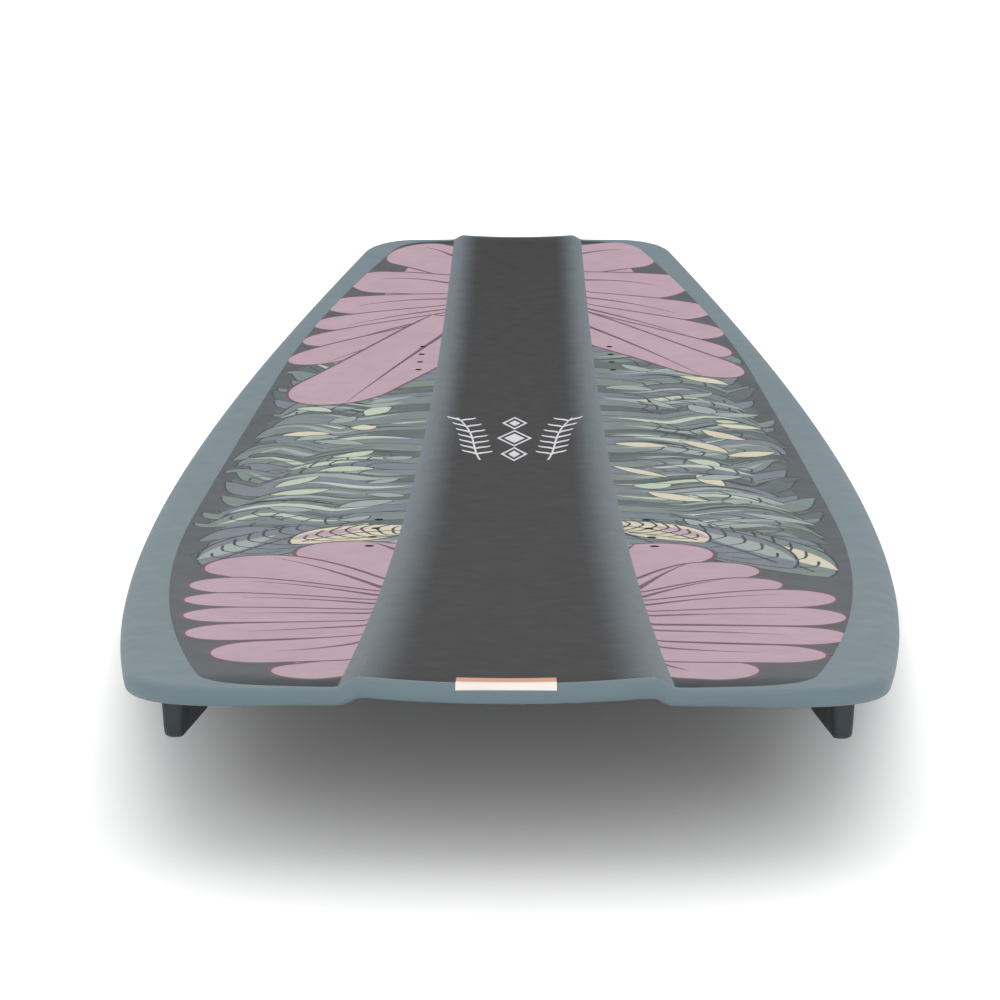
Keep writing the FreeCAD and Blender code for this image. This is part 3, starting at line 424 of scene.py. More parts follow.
class Finish:
    """A procedural material under construction, with its object coordinates at hand."""

    def __init__(self, name, roughness, metallic=0.0, coat=0.0, specular=0.5):
        self.material = bpy.data.materials.new(name)
        self.material.use_nodes = True
        self.tree = self.material.node_tree
        self.shader = self.tree.nodes["Principled BSDF"]
        self.shader.inputs["Roughness"].default_value = roughness
        self.shader.inputs["Metallic"].default_value = metallic
        self.shader.inputs["Coat Weight"].default_value = coat
        self.shader.inputs["Coat Roughness"].default_value = 0.1
        self.shader.inputs["Specular IOR Level"].default_value = specular
        self.coordinates = self.node("ShaderNodeTexCoord", {}).outputs["Object"]

    def node(self, kind, inputs, **settings):
        """Adds a node.  Each of its inputs is given as a value or as another node's output."""
        made = self.tree.nodes.new(kind)
        for key, value in settings.items():
            setattr(made, key, value)
        for key, value in inputs.items():
            if isinstance(value, bpy.types.NodeSocket):
                self.tree.links.new(value, made.inputs[key])
            else:
                made.inputs[key].default_value = value
        return made

    def maths(self, operation, *values):
        return self.node("ShaderNodeMath", dict(enumerate(values)), operation=operation).outputs[0]

    def stretched(self, scale):
        """Object coordinates scaled along each axis."""
        inputs = {"Scale": scale, "Vector": self.coordinates}
        return self.node("ShaderNodeMapping", inputs).outputs["Vector"]

    def from_middle(self, axis):
        """Distance from the middle plane of the board, across or along it."""
        split = self.node("ShaderNodeSeparateXYZ", {"Vector": self.coordinates})
        return self.maths("ABSOLUTE", split.outputs[axis])

    def noise(self, scale, detail=3.0, roughness=0.5, vector=None):
        inputs = {"Scale": scale, "Detail": detail, "Roughness": roughness}
        inputs["Vector"] = vector or self.coordinates
        return self.node("ShaderNodeTexNoise", inputs).outputs["Fac"]

    def ranged(self, value, low, high, to_low=0.0, to_high=1.0, shape="LINEAR"):
        """The value's range low to high stretched to another range, and held at its ends."""
        inputs = {"Value": value, "From Min": low, "From Max": high}
        inputs.update({"To Min": to_low, "To Max": to_high})
        return self.node("ShaderNodeMapRange", inputs, interpolation_type=shape).outputs["Result"]

    def mixed(self, factor, colour_a, colour_b):
        inputs = {"Factor": factor, COLOUR_A: colour_a, COLOUR_B: colour_b}
        return self.node("ShaderNodeMix", inputs, data_type="RGBA").outputs[MIXED_COLOUR]

    def blotched(self, noise, tone, variation, low=0.35, high=0.65):
        """A tone that wanders between slightly darker and slightly lighter."""
        patches = self.ranged(noise, low, high)
        return self.mixed(patches, shade(tone, 1 - variation), shade(tone, 1 + variation))

    def drive(self, name, socket):
        self.tree.links.new(socket, self.shader.inputs[name])

    def bump(self, height, strength, distance):
        inputs = {"Strength": strength, "Distance": distance, "Height": height}
        self.drive("Normal", self.node("ShaderNodeBump", inputs).outputs["Normal"])

    def colour(self, socket):
        self.drive("Base Color", socket)

    def rough(self, noise, smoothest, roughest):
        self.drive("Roughness", self.ranged(noise, 0.3, 0.7, smoothest, roughest))

    def satin(self, smoothest, roughest):
        """The printed sheet's slightly uneven gloss and fine grain."""
        self.rough(self.noise(90.0), smoothest, roughest)
        self.bump(self.noise(650.0), 0.08, 0.0002)


COLOUR_A, COLOUR_B, MIXED_COLOUR = 6, 7, 2  # the mix node's sockets for colours


def shade(colour, factor):
    """The colour made lighter or darker."""
    return tuple(min(1.0, c * factor) for c in colour[:3]) + (1.0,)


PRINT_SHINE = 0.06  # satin print mirrors little
MOULDED_SHINE = 0.12
SHEET_ROUGHNESS = 0.5


def printed(name, colour, variation=0.05, roughness=SHEET_ROUGHNESS):
    """Ink under a satin sheet: faint blotches, fine print grain and a slightly uneven gloss."""
    finish = Finish(name, roughness, specular=PRINT_SHINE)
    tone = linear(colour)
    base = finish.blotched(finish.noise(38.0, 4.0), tone, variation)
    grain = finish.ranged(finish.noise(1400.0, 2.0), 0.3, 0.7, 0.0, 0.35)
    finish.colour(finish.mixed(grain, base, shade(tone, 1 - 2 * variation)))
    finish.satin(roughness - 0.05, roughness + 0.06)
    return finish.material


def faded(
    name, colour, end_colour, start, end, axis, grain, variation, ragged=0.0, stretch=(1, 1, 1)
):
    """Charcoal sheet that fades to another colour between two distances from the middle plane.

    start, end and the fade's raggedness are in metres.
    """
    finish = Finish(name, SHEET_ROUGHNESS, specular=PRINT_SHINE)
    wavering = finish.noise(55.0, 4.0)
    distance = finish.maths("MULTIPLY_ADD", wavering, ragged, finish.from_middle(axis))
    fade = finish.ranged(distance, start, end, shape="SMOOTHSTEP")
    patches = finish.noise(grain, 4.0, vector=finish.stretched(stretch))
    plain = finish.blotched(patches, linear(colour), variation)
    finish.colour(finish.mixed(fade, plain, linear(end_colour)))
    finish.satin(0.49, 0.53)
    return finish.material


def moulded(name, colour, roughness, grain_scale, grain, variation):
    """Matt moulded plastic with a fine grain and faint wear."""
    finish = Finish(name, roughness, specular=MOULDED_SHINE)
    tone = linear(colour)
    worn = finish.ranged(finish.noise(120.0, 6.0, 0.7), 0.62, 0.8, 0.0, 0.25)
    base = finish.blotched(finish.noise(14.0, 5.0), tone, variation, 0.3, 0.7)
    finish.colour(finish.mixed(worn, base, shade(tone, 1.15)))
    finish.rough(finish.noise(70.0, 4.0), roughness - 0.04, roughness + 0.04)
    finish.bump(finish.noise(grain_scale), grain, 0.0003)
    return finish.material


def turned_metal(name, colour, roughness):
    """Machined metal with fine tool marks and tarnish."""
    finish = Finish(name, roughness, metallic=1.0)
    tone = linear(colour)
    marks = finish.noise(2600.0, 2.0, vector=finish.stretched((1, 1, 0.2)))
    tarnish = finish.ranged(finish.noise(240.0, 5.0), 0.35, 0.7)
    finish.colour(finish.mixed(tarnish, tone, shade(tone, 0.6)))
    finish.rough(marks, roughness - 0.08, roughness + 0.1)
    finish.bump(marks, 0.15, 0.0001)
    return finish.material


def foam_finish():
    """Closed-cell foam: small cells as pits."""
    finish = Finish("foam", 0.85)
    inputs = {"Scale": 900.0, "Vector": finish.coordinates}
    cells = finish.node("ShaderNodeTexVoronoi", inputs, feature="DISTANCE_TO_EDGE")
    wall = finish.ranged(cells.outputs["Distance"], 0.0, 0.2)
    finish.colour(finish.mixed(wall, linear((238, 226, 190)), linear((222, 206, 164))))
    finish.bump(wall, 0.4, 0.0004)
    return finish.material


def woven_finish(name, colour, pitch):
    """Cured cloth: two crossed sets of bands."""
    finish = Finish(name, 0.35, coat=0.4)
    tone = linear(colour)
    inputs = {"Scale": 1 / pitch, "Distortion": 0.6, "Vector": finish.coordinates}
    warp = finish.node("ShaderNodeTexWave", inputs, bands_direction="X").outputs["Fac"]
    weft = finish.node("ShaderNodeTexWave", inputs, bands_direction="Y").outputs["Fac"]
    weave = finish.maths("MULTIPLY", warp, weft)
    finish.colour(finish.mixed(weave, shade(tone, 0.8), shade(tone, 1.15)))
    finish.bump(weave, 0.3, 0.0003)
    return finish.material


# the inks' places among the deck's materials
GROUND, PETAL, PETAL_LINE, SLATE, SAGE, DEEP = range(6)
MIST, MINT, CREAM, LEAF_LINE, SPINE, EMBLEM = range(6, 12)
DECK_MATERIALS = [
    # the wings' ground, darker in a narrow band at each end next to the rail: painted shade of the
    # seam there
    faded("deck_ground", (66, 71, 74), (30, 37, 42), 0.632, 0.664, "Y", 30.0, 0.07),
    printed("deck_petal", (155, 132, 142), variation=0.04),
    printed("deck_petal_line", (88, 64, 75)),
    printed("deck_leaf_slate", (97, 104, 112)),
    printed("deck_leaf_sage", (98, 111, 107)),
    printed("deck_leaf_deep", (74, 84, 84)),
    printed("deck_leaf_mist", (129, 140, 137)),
    printed("deck_leaf_mint", (156, 168, 150)),
    printed("deck_leaf_cream", (178, 172, 152)),
    printed("deck_leaf_line", (44, 52, 54)),
    # the spine, teal towards both flanks and faintly streaked
    faded(
        "deck_spine", (32, 32, 34), (94, 104, 110), 0.038, 0.066, "X", 60.0, 0.015,
        ragged=0.005, stretch=(6, 1, 1),
    ),
    printed("deck_emblem", (180, 180, 184)),
]
RAIL_MATERIAL = moulded("rail_urethane", (92, 107, 113), 0.55, 900.0, 0.08, variation=0.02)
BASE_MATERIAL = printed("base_print", (46, 48, 50), roughness=0.4)
FIN_MATERIAL = moulded("fin_nylon", (51, 57, 61), 0.45, 1600.0, 0.25, variation=0.1)

# ---- Artwork: generic petal fans at both ends and a band of leaves between ----


def bezier(a, b, c, d, count, ease=1.0):
    """Points along a cubic curve, its end left out; more ease puts them closer near the end."""
    points = []
    for i in range(count):
        t = 1 - (1 - i / count) ** ease
        s = 1 - t
        weights = (s**3, 3 * s * s * t, 3 * s * t * t, t**3)
        x, y = (sum(w * v for w, v in zip(weights, values)) for values in zip(a, b, c, d))
        points.append((x, y))
    return points


def direction(a, b):
    dx, dy = b[0] - a[0], b[1] - a[1]
    length = hypot(dx, dy) or 1.0
    return dx / length, dy / length


def widened(outline, distance):
    """A closed outline moved outwards by a distance."""
    way = 1.0 if signed_area(outline) > 0 else -1.0
    moved = []
    for i, (x, y) in enumerate(outline):
        before, after = outline[i - 1], outline[(i + 1) % len(outline)]
        dx, dy = direction(before, after)
        moved.append((x + way * dy * distance, y - way * dx * distance))
    return moved


def ribbon(line, width):
    """A closed strip along a line; width is a number or a function of the share of the way."""
    left, right = [], []
    last = len(line) - 1
    gone = [0.0]  # length of the line up to each point
    for a, b in zip(line, line[1:]):
        gone.append(gone[-1] + dist(a, b))
    for i, (x, y) in enumerate(line):
        before, after = line[max(i - 1, 0)], line[min(i + 1, last)]
        dx, dy = direction(before, after)
        half = (width(gone[i] / gone[-1]) if callable(width) else width) / 2
        left.append((x - dy * half, y + dx * half))
        right.append((x + dy * half, y - dx * half))
    return left + right[::-1]


def bow(share):
    """0 at both ends of a line, 1 in its middle."""
    return sin(pi * min(max(share, 0.0), 1.0))


class Wing:
    """One side of the deck; side is -1 on the left and 1 on the right."""

    def __init__(self, plan, side):
        self.plan = plan
        self.side = side

    def place(self, outline, ink):
        self.plan.add_area([(self.side * u, y) for u, y in outline], ink)

    def outlined(self, outline, ink, line_ink, thickness):
        self.place(widened(outline, thickness), line_ink)
        self.place(outline, ink)


ROOT = SPINE_BASE - 5.0  # petals and leaves start under the spine's flank
PETAL_SHOULDER = 0.8  # share of the way at which a petal starts to round off
PETAL_OUTLINE = 2.5
PETAL_BURIED = 0.7  # share of a root's width that lies hidden under the spine
PETAL_BACKING = 0.6  # the petals of a fan are joined over this share of their length
VEIN_SHORT = 26.0  # a petal's vein ends this far before the tip


def sway_line(start, end, sway, count=22, ease=1.0):
    """A gently bowed line from start to end."""
    (x1, y1), (x2, y2) = between(start, end, 0.35), between(start, end, 0.7)
    return bezier(start, (x1, y1 + sway), (x2, y2 + sway), end, count, ease) + [end]


def petal_width(root_width, full_width):
    """Widths along a petal: it opens steadily, then ends in a round tip."""

    def width(share):
        grown = root_width + (full_width - root_width) * smooth_share(share / PETAL_SHOULDER)
        past = max(0.0, (share - PETAL_SHOULDER) / (1 - PETAL_SHOULDER))
        return grown * sqrt(max(0.0, 1 - past**2)) + 0.2

    return width


def petal_fan(wing, petals):
    """petals holds (root y, root width, tip u, tip y, full width, sway) as they overlap."""
    low = min(p[0] - p[1] / 2 for p in petals)
    high = max(p[0] + p[1] / 2 for p in petals)
    backing = [(ROOT, low)]
    for root_y, _, tip_u, tip_y, _, _ in sorted(petals, key=lambda p: p[3]):
        backing.append(between((ROOT, root_y), (tip_u, tip_y), PETAL_BACKING))
    backing.append((ROOT, high))
    wing.outlined(backing, PETAL, PETAL_LINE, PETAL_OUTLINE)
    for root_y, root_width, tip_u, tip_y, full_width, sway in petals:
        dx, dy = direction((ROOT, root_y), (tip_u, tip_y))
        back = PETAL_BURIED * root_width
        start = (ROOT - back * dx, root_y - back * dy)
        line = sway_line(start, (tip_u, tip_y), sway, count=28, ease=2.2)
        body = ribbon(line, petal_width(root_width, full_width))
        wing.outlined(body, PETAL, PETAL_LINE, PETAL_OUTLINE)
        vein_start = (ROOT, root_y + root_width * 0.2)
        vein_end = (tip_u - VEIN_SHORT, tip_y + full_width * 0.12)
        vein = sway_line(vein_start, vein_end, sway * 1.3)
        wing.place(ribbon(vein, lambda share: 3.6 * (1 - share) + 0.5), PETAL_LINE)


# the petals of the four fans, as petal_fan takes them
FAR_LEFT = (
    (590, 90, 116, 636, 78, 6),
    (508, 60, 152, 528, 70, 10),
    (462, 40, 166, 440, 56, 8),
    (432, 28, 170, 376, 44, 6),
    (410, 24, 172, 318, 42, 6),
    (392, 24, 176, 254, 44, 6),
    (345, 84, 150, 122, 74, 14),
)
NEAR_LEFT = (
    (-622, 44, 88, -640, 34, 0),
    (-362, 148, 104, -306, 62, 4),
    (-440, 22, 150, -352, 60, 10),
    (-456, 20, 155, -414, 40, 6),
    (-476, 22, 152, -456, 34, 4),
    (-500, 26, 146, -498, 36, 2),
    (-530, 34, 138, -544, 40, 0),
    (-574, 60, 120, -592, 50, -4),
)
FAR_RIGHT = (
    (600, 100, 128, 628, 86, 4),
    (520, 66, 154, 506, 80, 8),
    (468, 42, 164, 416, 60, 8),
    (436, 28, 168, 344, 50, 6),
    (412, 24, 169, 280, 42, 4),
    (370, 70, 170, 212, 52, 10),
)
NEAR_RIGHT = (
    (-622, 46, 96, -634, 40, 0),
    (-366, 140, 94, -308, 58, 4),
    (-446, 20, 118, -362, 44, 8),
    (-462, 18, 130, -408, 36, 6),
    (-480, 22, 152, -448, 44, 6),
    (-506, 26, 150, -500, 44, 4),
    (-542, 34, 144, -550, 42, 2),
    (-584, 50, 128, -592, 40, -2),
)
FANS = {-1: (FAR_LEFT, NEAR_LEFT), 1: (FAR_RIGHT, NEAR_RIGHT)}

LEAF_START, LEAF_END = 300.0, -352.0
LEAF_REACH = 125.0  # from the spine to about the rim
LEAF_OUTLINE = 1.3
LEAF_INKS = (SLATE, SAGE, DEEP, SAGE, SLATE, SAGE, DEEP)
STREAKS = (((MIST, SAGE, SLATE), 0.34), ((DEEP, LEAF_LINE), 0.12), ((MIST, MIST, MINT), 0.2))
SMALL_LEAVES = 26
LEAF_SEED = 11


def flowing_line(start, end, turn):
    """A line that swings along the board, more and faster towards the rim."""
    line = []
    for share in spread(0.0, 1.0, 36):
        x, y = between(start, end, share)
        across = max(0.0, (x - ROOT) / LEAF_REACH)
        swing = 4 + 17 * across**1.4
        line.append((x, y + swing * sin(10.5 * across**1.3 + start[1] / 52 + turn)))
    return line


def leaf_width(full):
    """Widths along a leaf: fullest in its middle and pointed at its end."""
    return lambda share: full * (0.62 + 0.38 * bow(share)) * max(0.0, 1 - share**4) ** 0.7 + 0.3


def along_line(line, share):
    """The point at a share of the way along a line, and the line's direction there."""
    spot = share * (len(line) - 1)
    i = min(int(spot), len(line) - 2)
    a, b = line[i], line[i + 1]
    return between(a, b, spot - i), direction(a, b)


def rib(line, share, width, way):
    """A thin curved line from a leaf's middle back to its edge."""
    (x, y), (dx, dy) = along_line(line, share)
    half = width(share) / 2 - 0.4
    tip = (x - way * dy * half - dx * half * 0.8, y + way * dx * half - dy * half * 0.8)
    bend = (x - way * dy * half * 0.6, y + way * dx * half * 0.6)
    return ribbon(bezier((x, y), bend, bend, tip, 4) + [tip], 1.6)


def add_ribs(wing, line, width, shares):
    """Pairs of ribs on a leaf, at shares of the way along its line."""
    for share in shares:
        for way in (-1, 1):
            wing.place(rib(line, share, width, way), LEAF_LINE)


def wing_edge(y):
    """How far out the panel reaches at y."""
    return PANEL.side_point(min(abs(y) / PANEL.corner_low[1], 1.0))[0]


def streak_along(line, first, last, shift):
    """Points beside part of a line."""
    streak = []
    for share in spread(first, last, 14):
        (x, y), (dx, dy) = along_line(line, share)
        streak.append((x - dy * shift, y + dx * shift))
    return streak


def big_leaf(wing, draw, line, full, ink, ribs):
    """A leaf with streaks of other inks along it, and with pairs of ribs or none."""
    width = leaf_width(full)
    wing.outlined(ribbon(line, width), ink, LEAF_LINE, LEAF_OUTLINE)
    for inks, thick in STREAKS:
        first, last = draw.uniform(0.02, 0.4), draw.uniform(0.6, 0.95)
        streak = streak_along(line, first, last, draw.uniform(-0.1, 0.42) * full)
        body = ribbon(streak, lambda share, wide=thick * full: wide * bow(share) + 0.3)
        wing.place(body, draw.choice(inks))
    add_ribs(wing, line, width, [0.25 + 0.65 * (k + 1) / (ribs + 1) for k in range(ribs)])


# start, end, full width, sway, ink and lighter ink of the wide leaves beside the near fans
BROAD_LEAVES = {
    -1: [
        ((104, -262), (157, -366), 52, 14, SLATE, MIST),
        ((ROOT, -268), (118, -306), 44, 16, CREAM, PETAL),
    ],
    1: [
        ((92, -266), (157, -396), 66, 20, SAGE, CREAM),
        ((66, -252), (142, -372), 58, 26, SLATE, MIST),
        ((ROOT, -252), (104, -300), 40, 14, CREAM, PETAL),
    ],
}


def broad_leaf(wing, start, end, full, sway, ink, light):
    """A wide leaf with a lighter field on one half, a middle vein and ribs."""
    line = sway_line(start, end, sway, count=24)
    width = leaf_width(full)
    wing.outlined(ribbon(line, width), ink, LEAF_LINE, 1.6)
    field = streak_along(line, 0.3, 0.92, full * 0.2)
    wing.place(ribbon(field, lambda share: full * 0.3 * bow(share)), light)
    add_ribs(wing, line, width, [(k + 1.2) / 8.5 for k in range(7)])
    wing.place(ribbon(line[:-2], 1.8), LEAF_LINE)


def leaf_band(wing, seed):
    """Overlapping wavy leaves that run outwards from the spine, drawn from far to near."""
    draw = random.Random(seed)
    bed = [(ROOT, LEAF_END), (ROOT, LEAF_START)]
    for y in spread(LEAF_START, LEAF_END, 90):
        bed.append((wing_edge(y) - 17 + 4 * sin(y / 7) + 3 * sin(y / 3.1), y))
    wing.place(bed, DEEP)
    y = LEAF_START
    number = 0
    while y > LEAF_END:
        end_y = y - draw.uniform(4, 34)
        end = (wing_edge(end_y) - draw.uniform(3, 16), end_y)
        full = draw.uniform(30, 42)
        ribs = draw.choice((0, 5, 0, 7))
        line = flowing_line((ROOT - 2, y), end, draw.uniform(-0.5, 0.5))
        big_leaf(wing, draw, line, full, LEAF_INKS[number % len(LEAF_INKS)], ribs)
        y -= draw.uniform(16, 25)
        number += 1
    for number in range(SMALL_LEAVES):
        along = (LEAF_START - LEAF_END - 90) * (number + draw.random()) / SMALL_LEAVES
        small_leaf(wing, draw, LEAF_START - 40 - along)


def small_leaf(wing, draw, y):
    """A short light leaf, loose on top of the others."""
    start = (draw.uniform(ROOT + 4, wing_edge(y) - 44), y)
    end = (start[0] + draw.uniform(13, 36), y + draw.uniform(-40, 12))
    wide = draw.uniform(8, 17)
    line = sway_line(start, end, draw.uniform(-7, 7), count=10)
    body = ribbon(line, lambda share: wide * bow(0.05 + 0.92 * share))
    wing.outlined(body, draw.choice((MINT, CREAM, MIST, MIST)), LEAF_LINE, 1.0)


def lozenge(y, half_width, half_height):
    return [(0, y - half_height), (half_width, y), (0, y + half_height), (-half_width, y)]


def emblem(plan):
    """A generic ornament on the spine: three lozenges between two sprigs."""
    for y, half_width, half_height in ((52, 9, 20), (4, 12, 26), (-46, 9, 22)):
        plan.add_area(lozenge(y, half_width, half_height), EMBLEM)
        plan.add_area(lozenge(y, half_width - 2.2, half_height - 4.5), SPINE)
        plan.add_area(lozenge(y, half_width - 5.0, half_height - 11), EMBLEM)
    for side in (-1, 1):
        stem = bezier((side * 22, -66), (side * 30, -20), (side * 24, 20), (side * 44, 74), 16)
        for i in range(2, 16, 2):
            x, y = stem[i]
            for way in (-1, 1):
                tip = (x + way * 10, y + 12)
                line = bezier((x, y), (x + way * 3, y + 8), (x + way * 8, y + 6), tip, 6) + [tip]
                leaf = ribbon(line, lambda share: 3.4 * bow(0.1 + 0.85 * share) + 0.3)
                plan.add_area(leaf, EMBLEM)
        plan.add_area(ribbon(stem, 1.3), EMBLEM)


GRID_STEP = 14.0
GRID_MARGIN = 2.0  # the grid stays this far inside the panel's tips
CORNER_CLEARANCE = 10.0  # and its loose points this far short of the corners


def add_grid(plan):
    """Points and lines that let the plan follow the board's curves."""
    reach = PANEL_HALF_LENGTH - GRID_MARGIN
    rows = int(2 * reach / GRID_STEP)
    for x in STATIONS:
        for side in (-1, 1) if x else (1,):
            far = PANEL.tip_point(x)[1] - GRID_MARGIN
            plan.lines.append([(side * x, y) for y in spread(-far, far, rows)])
    for y in spread(-reach, reach, rows):
        if abs(y) > PANEL.corner_low[1] - CORNER_CLEARANCE:
            continue
        u = STATIONS[-1] + GRID_STEP
        while u < wing_edge(y) - GRID_STEP:
            plan.spots += [(u, y), (-u, y)]
            u += GRID_STEP


HOLE_RADIUS = 2.6
HOLE_STEPS = 24


def build_deck():
    loop = outline_loop(PANEL)
    plan = Plan(loop)
    plan.add_area(widened(loop, -SEAM_WIDTH), GROUND)
    add_grid(plan)
    for side, fans in FANS.items():
        wing = Wing(plan, side)
        leaf_band(wing, LEAF_SEED + side)
        for leaf in BROAD_LEAVES[side]:
            broad_leaf(wing, *leaf)
        for petals in fans:
            petal_fan(wing, petals)
    tips = [PANEL.tip_point(x) for x in STATIONS if x <= SPINE_BASE]
    nose = [(-x, y) for x, y in tips[::-1]] + tips[1:]
    plan.add_area(nose + [(-x, -y) for x, y in nose], SPINE)
    emblem(plan)
    for mount in frame["record"]["mounts"]:
        if mount["name"].startswith("binding_hole"):
            x, y = mount["pos_m"][0] / MM, mount["pos_m"][1] / MM
            plan.add_area(circle(x, y, HOLE_RADIUS, HOLE_STEPS), None)
    deck = skin("deck_print_skin", plan, deck_height, -SHEET, DECK_MATERIALS, SEAM)
    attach(deck, "root")
    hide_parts("deck_sheet")


def build_base():
    plan = Plan(outline_loop(PANEL))
    add_grid(plan)
    base = skin("base_print_skin", plan, base_height, SHEET, [BASE_MATERIAL])
    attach(base, "root")
    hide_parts("base_sheet")


# ---- Rail ----

ROLL_STEPS = 9  # points along each rounding
FLAT_STEPS = 3  # points along the flat top and underside
TIP_THICKNESS = 6.5
CORNER_SWELL = 1.5


def rail_rolls(thickness, width):
    """Radii of the rail's rounding: inwards and down on top, inwards and up below."""
    grown = thickness / TIP_THICKNESS
    top_in = min(5.0 * grown**0.95, 0.6 * width)
    top_drop = 1.2 + 1.6 * max(0.0, thickness - TIP_THICKNESS) ** 0.8
    base_drop = min(5.2 * grown**1.1, thickness - top_drop - 0.1)
    base_in = min(6.2 * grown**1.1, 0.55 * width, 1.3 * base_drop)
    return top_in, top_drop, base_in, base_drop


def corner_swell(x, y):
    """How much deeper the rail is at the board's corners."""
    return CORNER_SWELL * smooth_share((abs(x) - 50) / 90) * smooth_share((abs(y) - 500) / 120)


def rolled_off(distance, inwards, drop):
    """How far an elliptical edge has dropped, at a distance in from the outermost point."""
    if distance >= inwards:
        return 0.0
    share = 1 - distance / inwards
    return drop * (1 - sqrt(max(0.0, 1 - share**2)))


def rail_section(inner, outer):
    """Points round the rail between a point of the panel's outline and one of the board's."""
    width = dist(inner, outer)
    thickness = deck_height(*outer) - base_height(*outer)
    top_in, top_drop, base_in, base_drop = rail_rolls(thickness, width)

    section = []
    # distances in from the outermost point: over the top, then underneath
    inwards = [width, width - SEAM_WIDTH]
    inwards += spread(width - SEAM_WIDTH, top_in, FLAT_STEPS)[1:]
    inwards += [top_in * (1 - sin(a)) for a in spread(0, pi / 2, ROLL_STEPS)[1:]]
    for i, distance in enumerate(inwards):
        x, y = between(outer, inner, distance / width)
        sunk = SEAM if i == 0 else rolled_off(distance, top_in, top_drop)
        section.append((x, y, deck_height(x, y) - sunk))
    inwards = [base_in * (1 - sin(a)) for a in spread(pi / 2, 0, ROLL_STEPS)[1:]]
    inwards += spread(base_in, width, FLAT_STEPS)[1:]
    for distance in inwards:
        x, y = between(outer, inner, distance / width)
        swell = corner_swell(x, y) * (1 - distance / width)
        lift = rolled_off(distance, base_in, base_drop)
        section.append((x, y, base_height(x, y) - swell + lift))
    return section


def build_rail():
    sections = [rail_section(a, b) for a, b in zip(outline_loop(PANEL), outline_loop(BOARD))]
    points = [p for section in sections for p in section]
    faces = ring_faces(len(sections), len(sections[0]), closed=True)
    rail = new_object("rail_ring", points, faces, [RAIL_MATERIAL], sharp_degrees=50.0)
    face_outwards(rail)
    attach(rail, "root")
    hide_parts("rail_left", "rail_right")


# ---- Fins ----

FOOT_HALF_LENGTH = 64.0
FOOT_HALF_WIDTH = 8.5
FOOT_CORNER = 8.0
FOOT_DEPTH = 3.0
FIN_DEPTH = 24.3
BLADE_HALF_WIDTH = 5.0
BLADE_FRONT, BLADE_BACK = 43.6, -46.0  # ends of the blade where it leaves the foot
BLADE_RAKE = 21.0  # how much shorter it is behind at its lower edge
FIN_SOFT = 2.2  # rounding of the blade's lower edge
ROOT_SOFT = 1.6  # fillet between the foot and the blade
SCREW_HALF_PITCH = 55.0
SINK_RADIUS = 5.0
SINK_HOLE = 2.6
SINK_SPARE = 4.0  # how far the cutter runs past the foot on both sides
SINK_STEPS = 32


def rounded_loop(half_width, front, back, radius):
    """A rounded rectangle in plan, anticlockwise, with points along its long sides."""
    radius = min(radius, half_width - 0.01)
    points = []
    centres = (
        (half_width - radius, front - radius),
        (radius - half_width, front - radius),
        (radius - half_width, back + radius),
        (half_width - radius, back + radius),
    )
    for i, (x, y) in enumerate(centres):
        for a in spread(i * pi / 2, (i + 1) * pi / 2, 7):
            points.append((x + radius * cos(a), y + radius * sin(a)))
        if i % 2:
            side = copysign(half_width, x)
            next_y = centres[(i + 1) % 4][1]
            points += [(side, along) for along in spread(y, next_y, 12)[1:-1]]
    return points


def blade_loop(depth):
    """The blade's section at a depth: blunt in front, slimmer and raked behind."""
    share = (depth - FOOT_DEPTH) / (FIN_DEPTH - FOOT_DEPTH)
    half_width = BLADE_HALF_WIDTH - 1.1 * share
    front = BLADE_FRONT - 1.6 * share - 2.4 * max(0.0, share - 0.7) ** 2 / 0.09
    back = BLADE_BACK + BLADE_RAKE * share**2.6
    near_foot = max(0.0, ROOT_SOFT - (depth - FOOT_DEPTH))
    flare = ROOT_SOFT - sqrt(ROOT_SOFT**2 - near_foot**2)
    near_end = max(0.0, FIN_SOFT - (FIN_DEPTH - depth))
    tuck = FIN_SOFT - sqrt(FIN_SOFT**2 - near_end**2)
    grow = flare - tuck
    return rounded_loop(half_width + grow, front + grow, back - grow, 2.4)


def cone_cutter(name, place, station):
    """A countersink at a station along the fin's foot."""
    levels = (
        (SINK_HOLE, SINK_SPARE),
        (SINK_HOLE, SINK_RADIUS - SINK_HOLE - FOOT_DEPTH),
        (SINK_RADIUS, -FOOT_DEPTH),
        (SINK_RADIUS, -FOOT_DEPTH - SINK_SPARE),
    )
    points = []
    for radius, height in levels:
        points += [(x, y, height) for x, y in circle(0.0, station, radius, SINK_STEPS)]
    cutter = new_object(name, points, stacked_faces(len(levels), SINK_STEPS), [])
    face_outwards(cutter)
    cutter.matrix_world = place
    return cutter


def fin_loops():
    """Rings of points from the base down to the fin's lower edge, in the fin's own frame."""
    loops = []
    for inset, depth in ((0.0, None), (0.0, 2.3), (0.2, 2.75), (0.7, FOOT_DEPTH)):
        half = FOOT_HALF_LENGTH - inset
        ring = rounded_loop(FOOT_HALF_WIDTH - inset, half, -half, FOOT_CORNER - inset)
        if depth is None:
            loops.append([(x, y, BASE_RADIUS - sqrt(BASE_RADIUS**2 - y**2)) for x, y in ring])
        else:
            loops.append([(x, y, -depth) for x, y in ring])
    depths = [FOOT_DEPTH + ROOT_SOFT * (1 - cos(a)) for a in spread(0.0, pi / 2, 5)]
    depths += spread(FOOT_DEPTH + ROOT_SOFT, FIN_DEPTH - FIN_SOFT, 12)[1:]
    depths += [FIN_DEPTH - FIN_SOFT * (1 - sin(a)) for a in spread(0.0, pi / 2, 6)[1:]]
    loops += [[(x, y, -depth) for x, y in blade_loop(depth)] for depth in depths]
    return loops


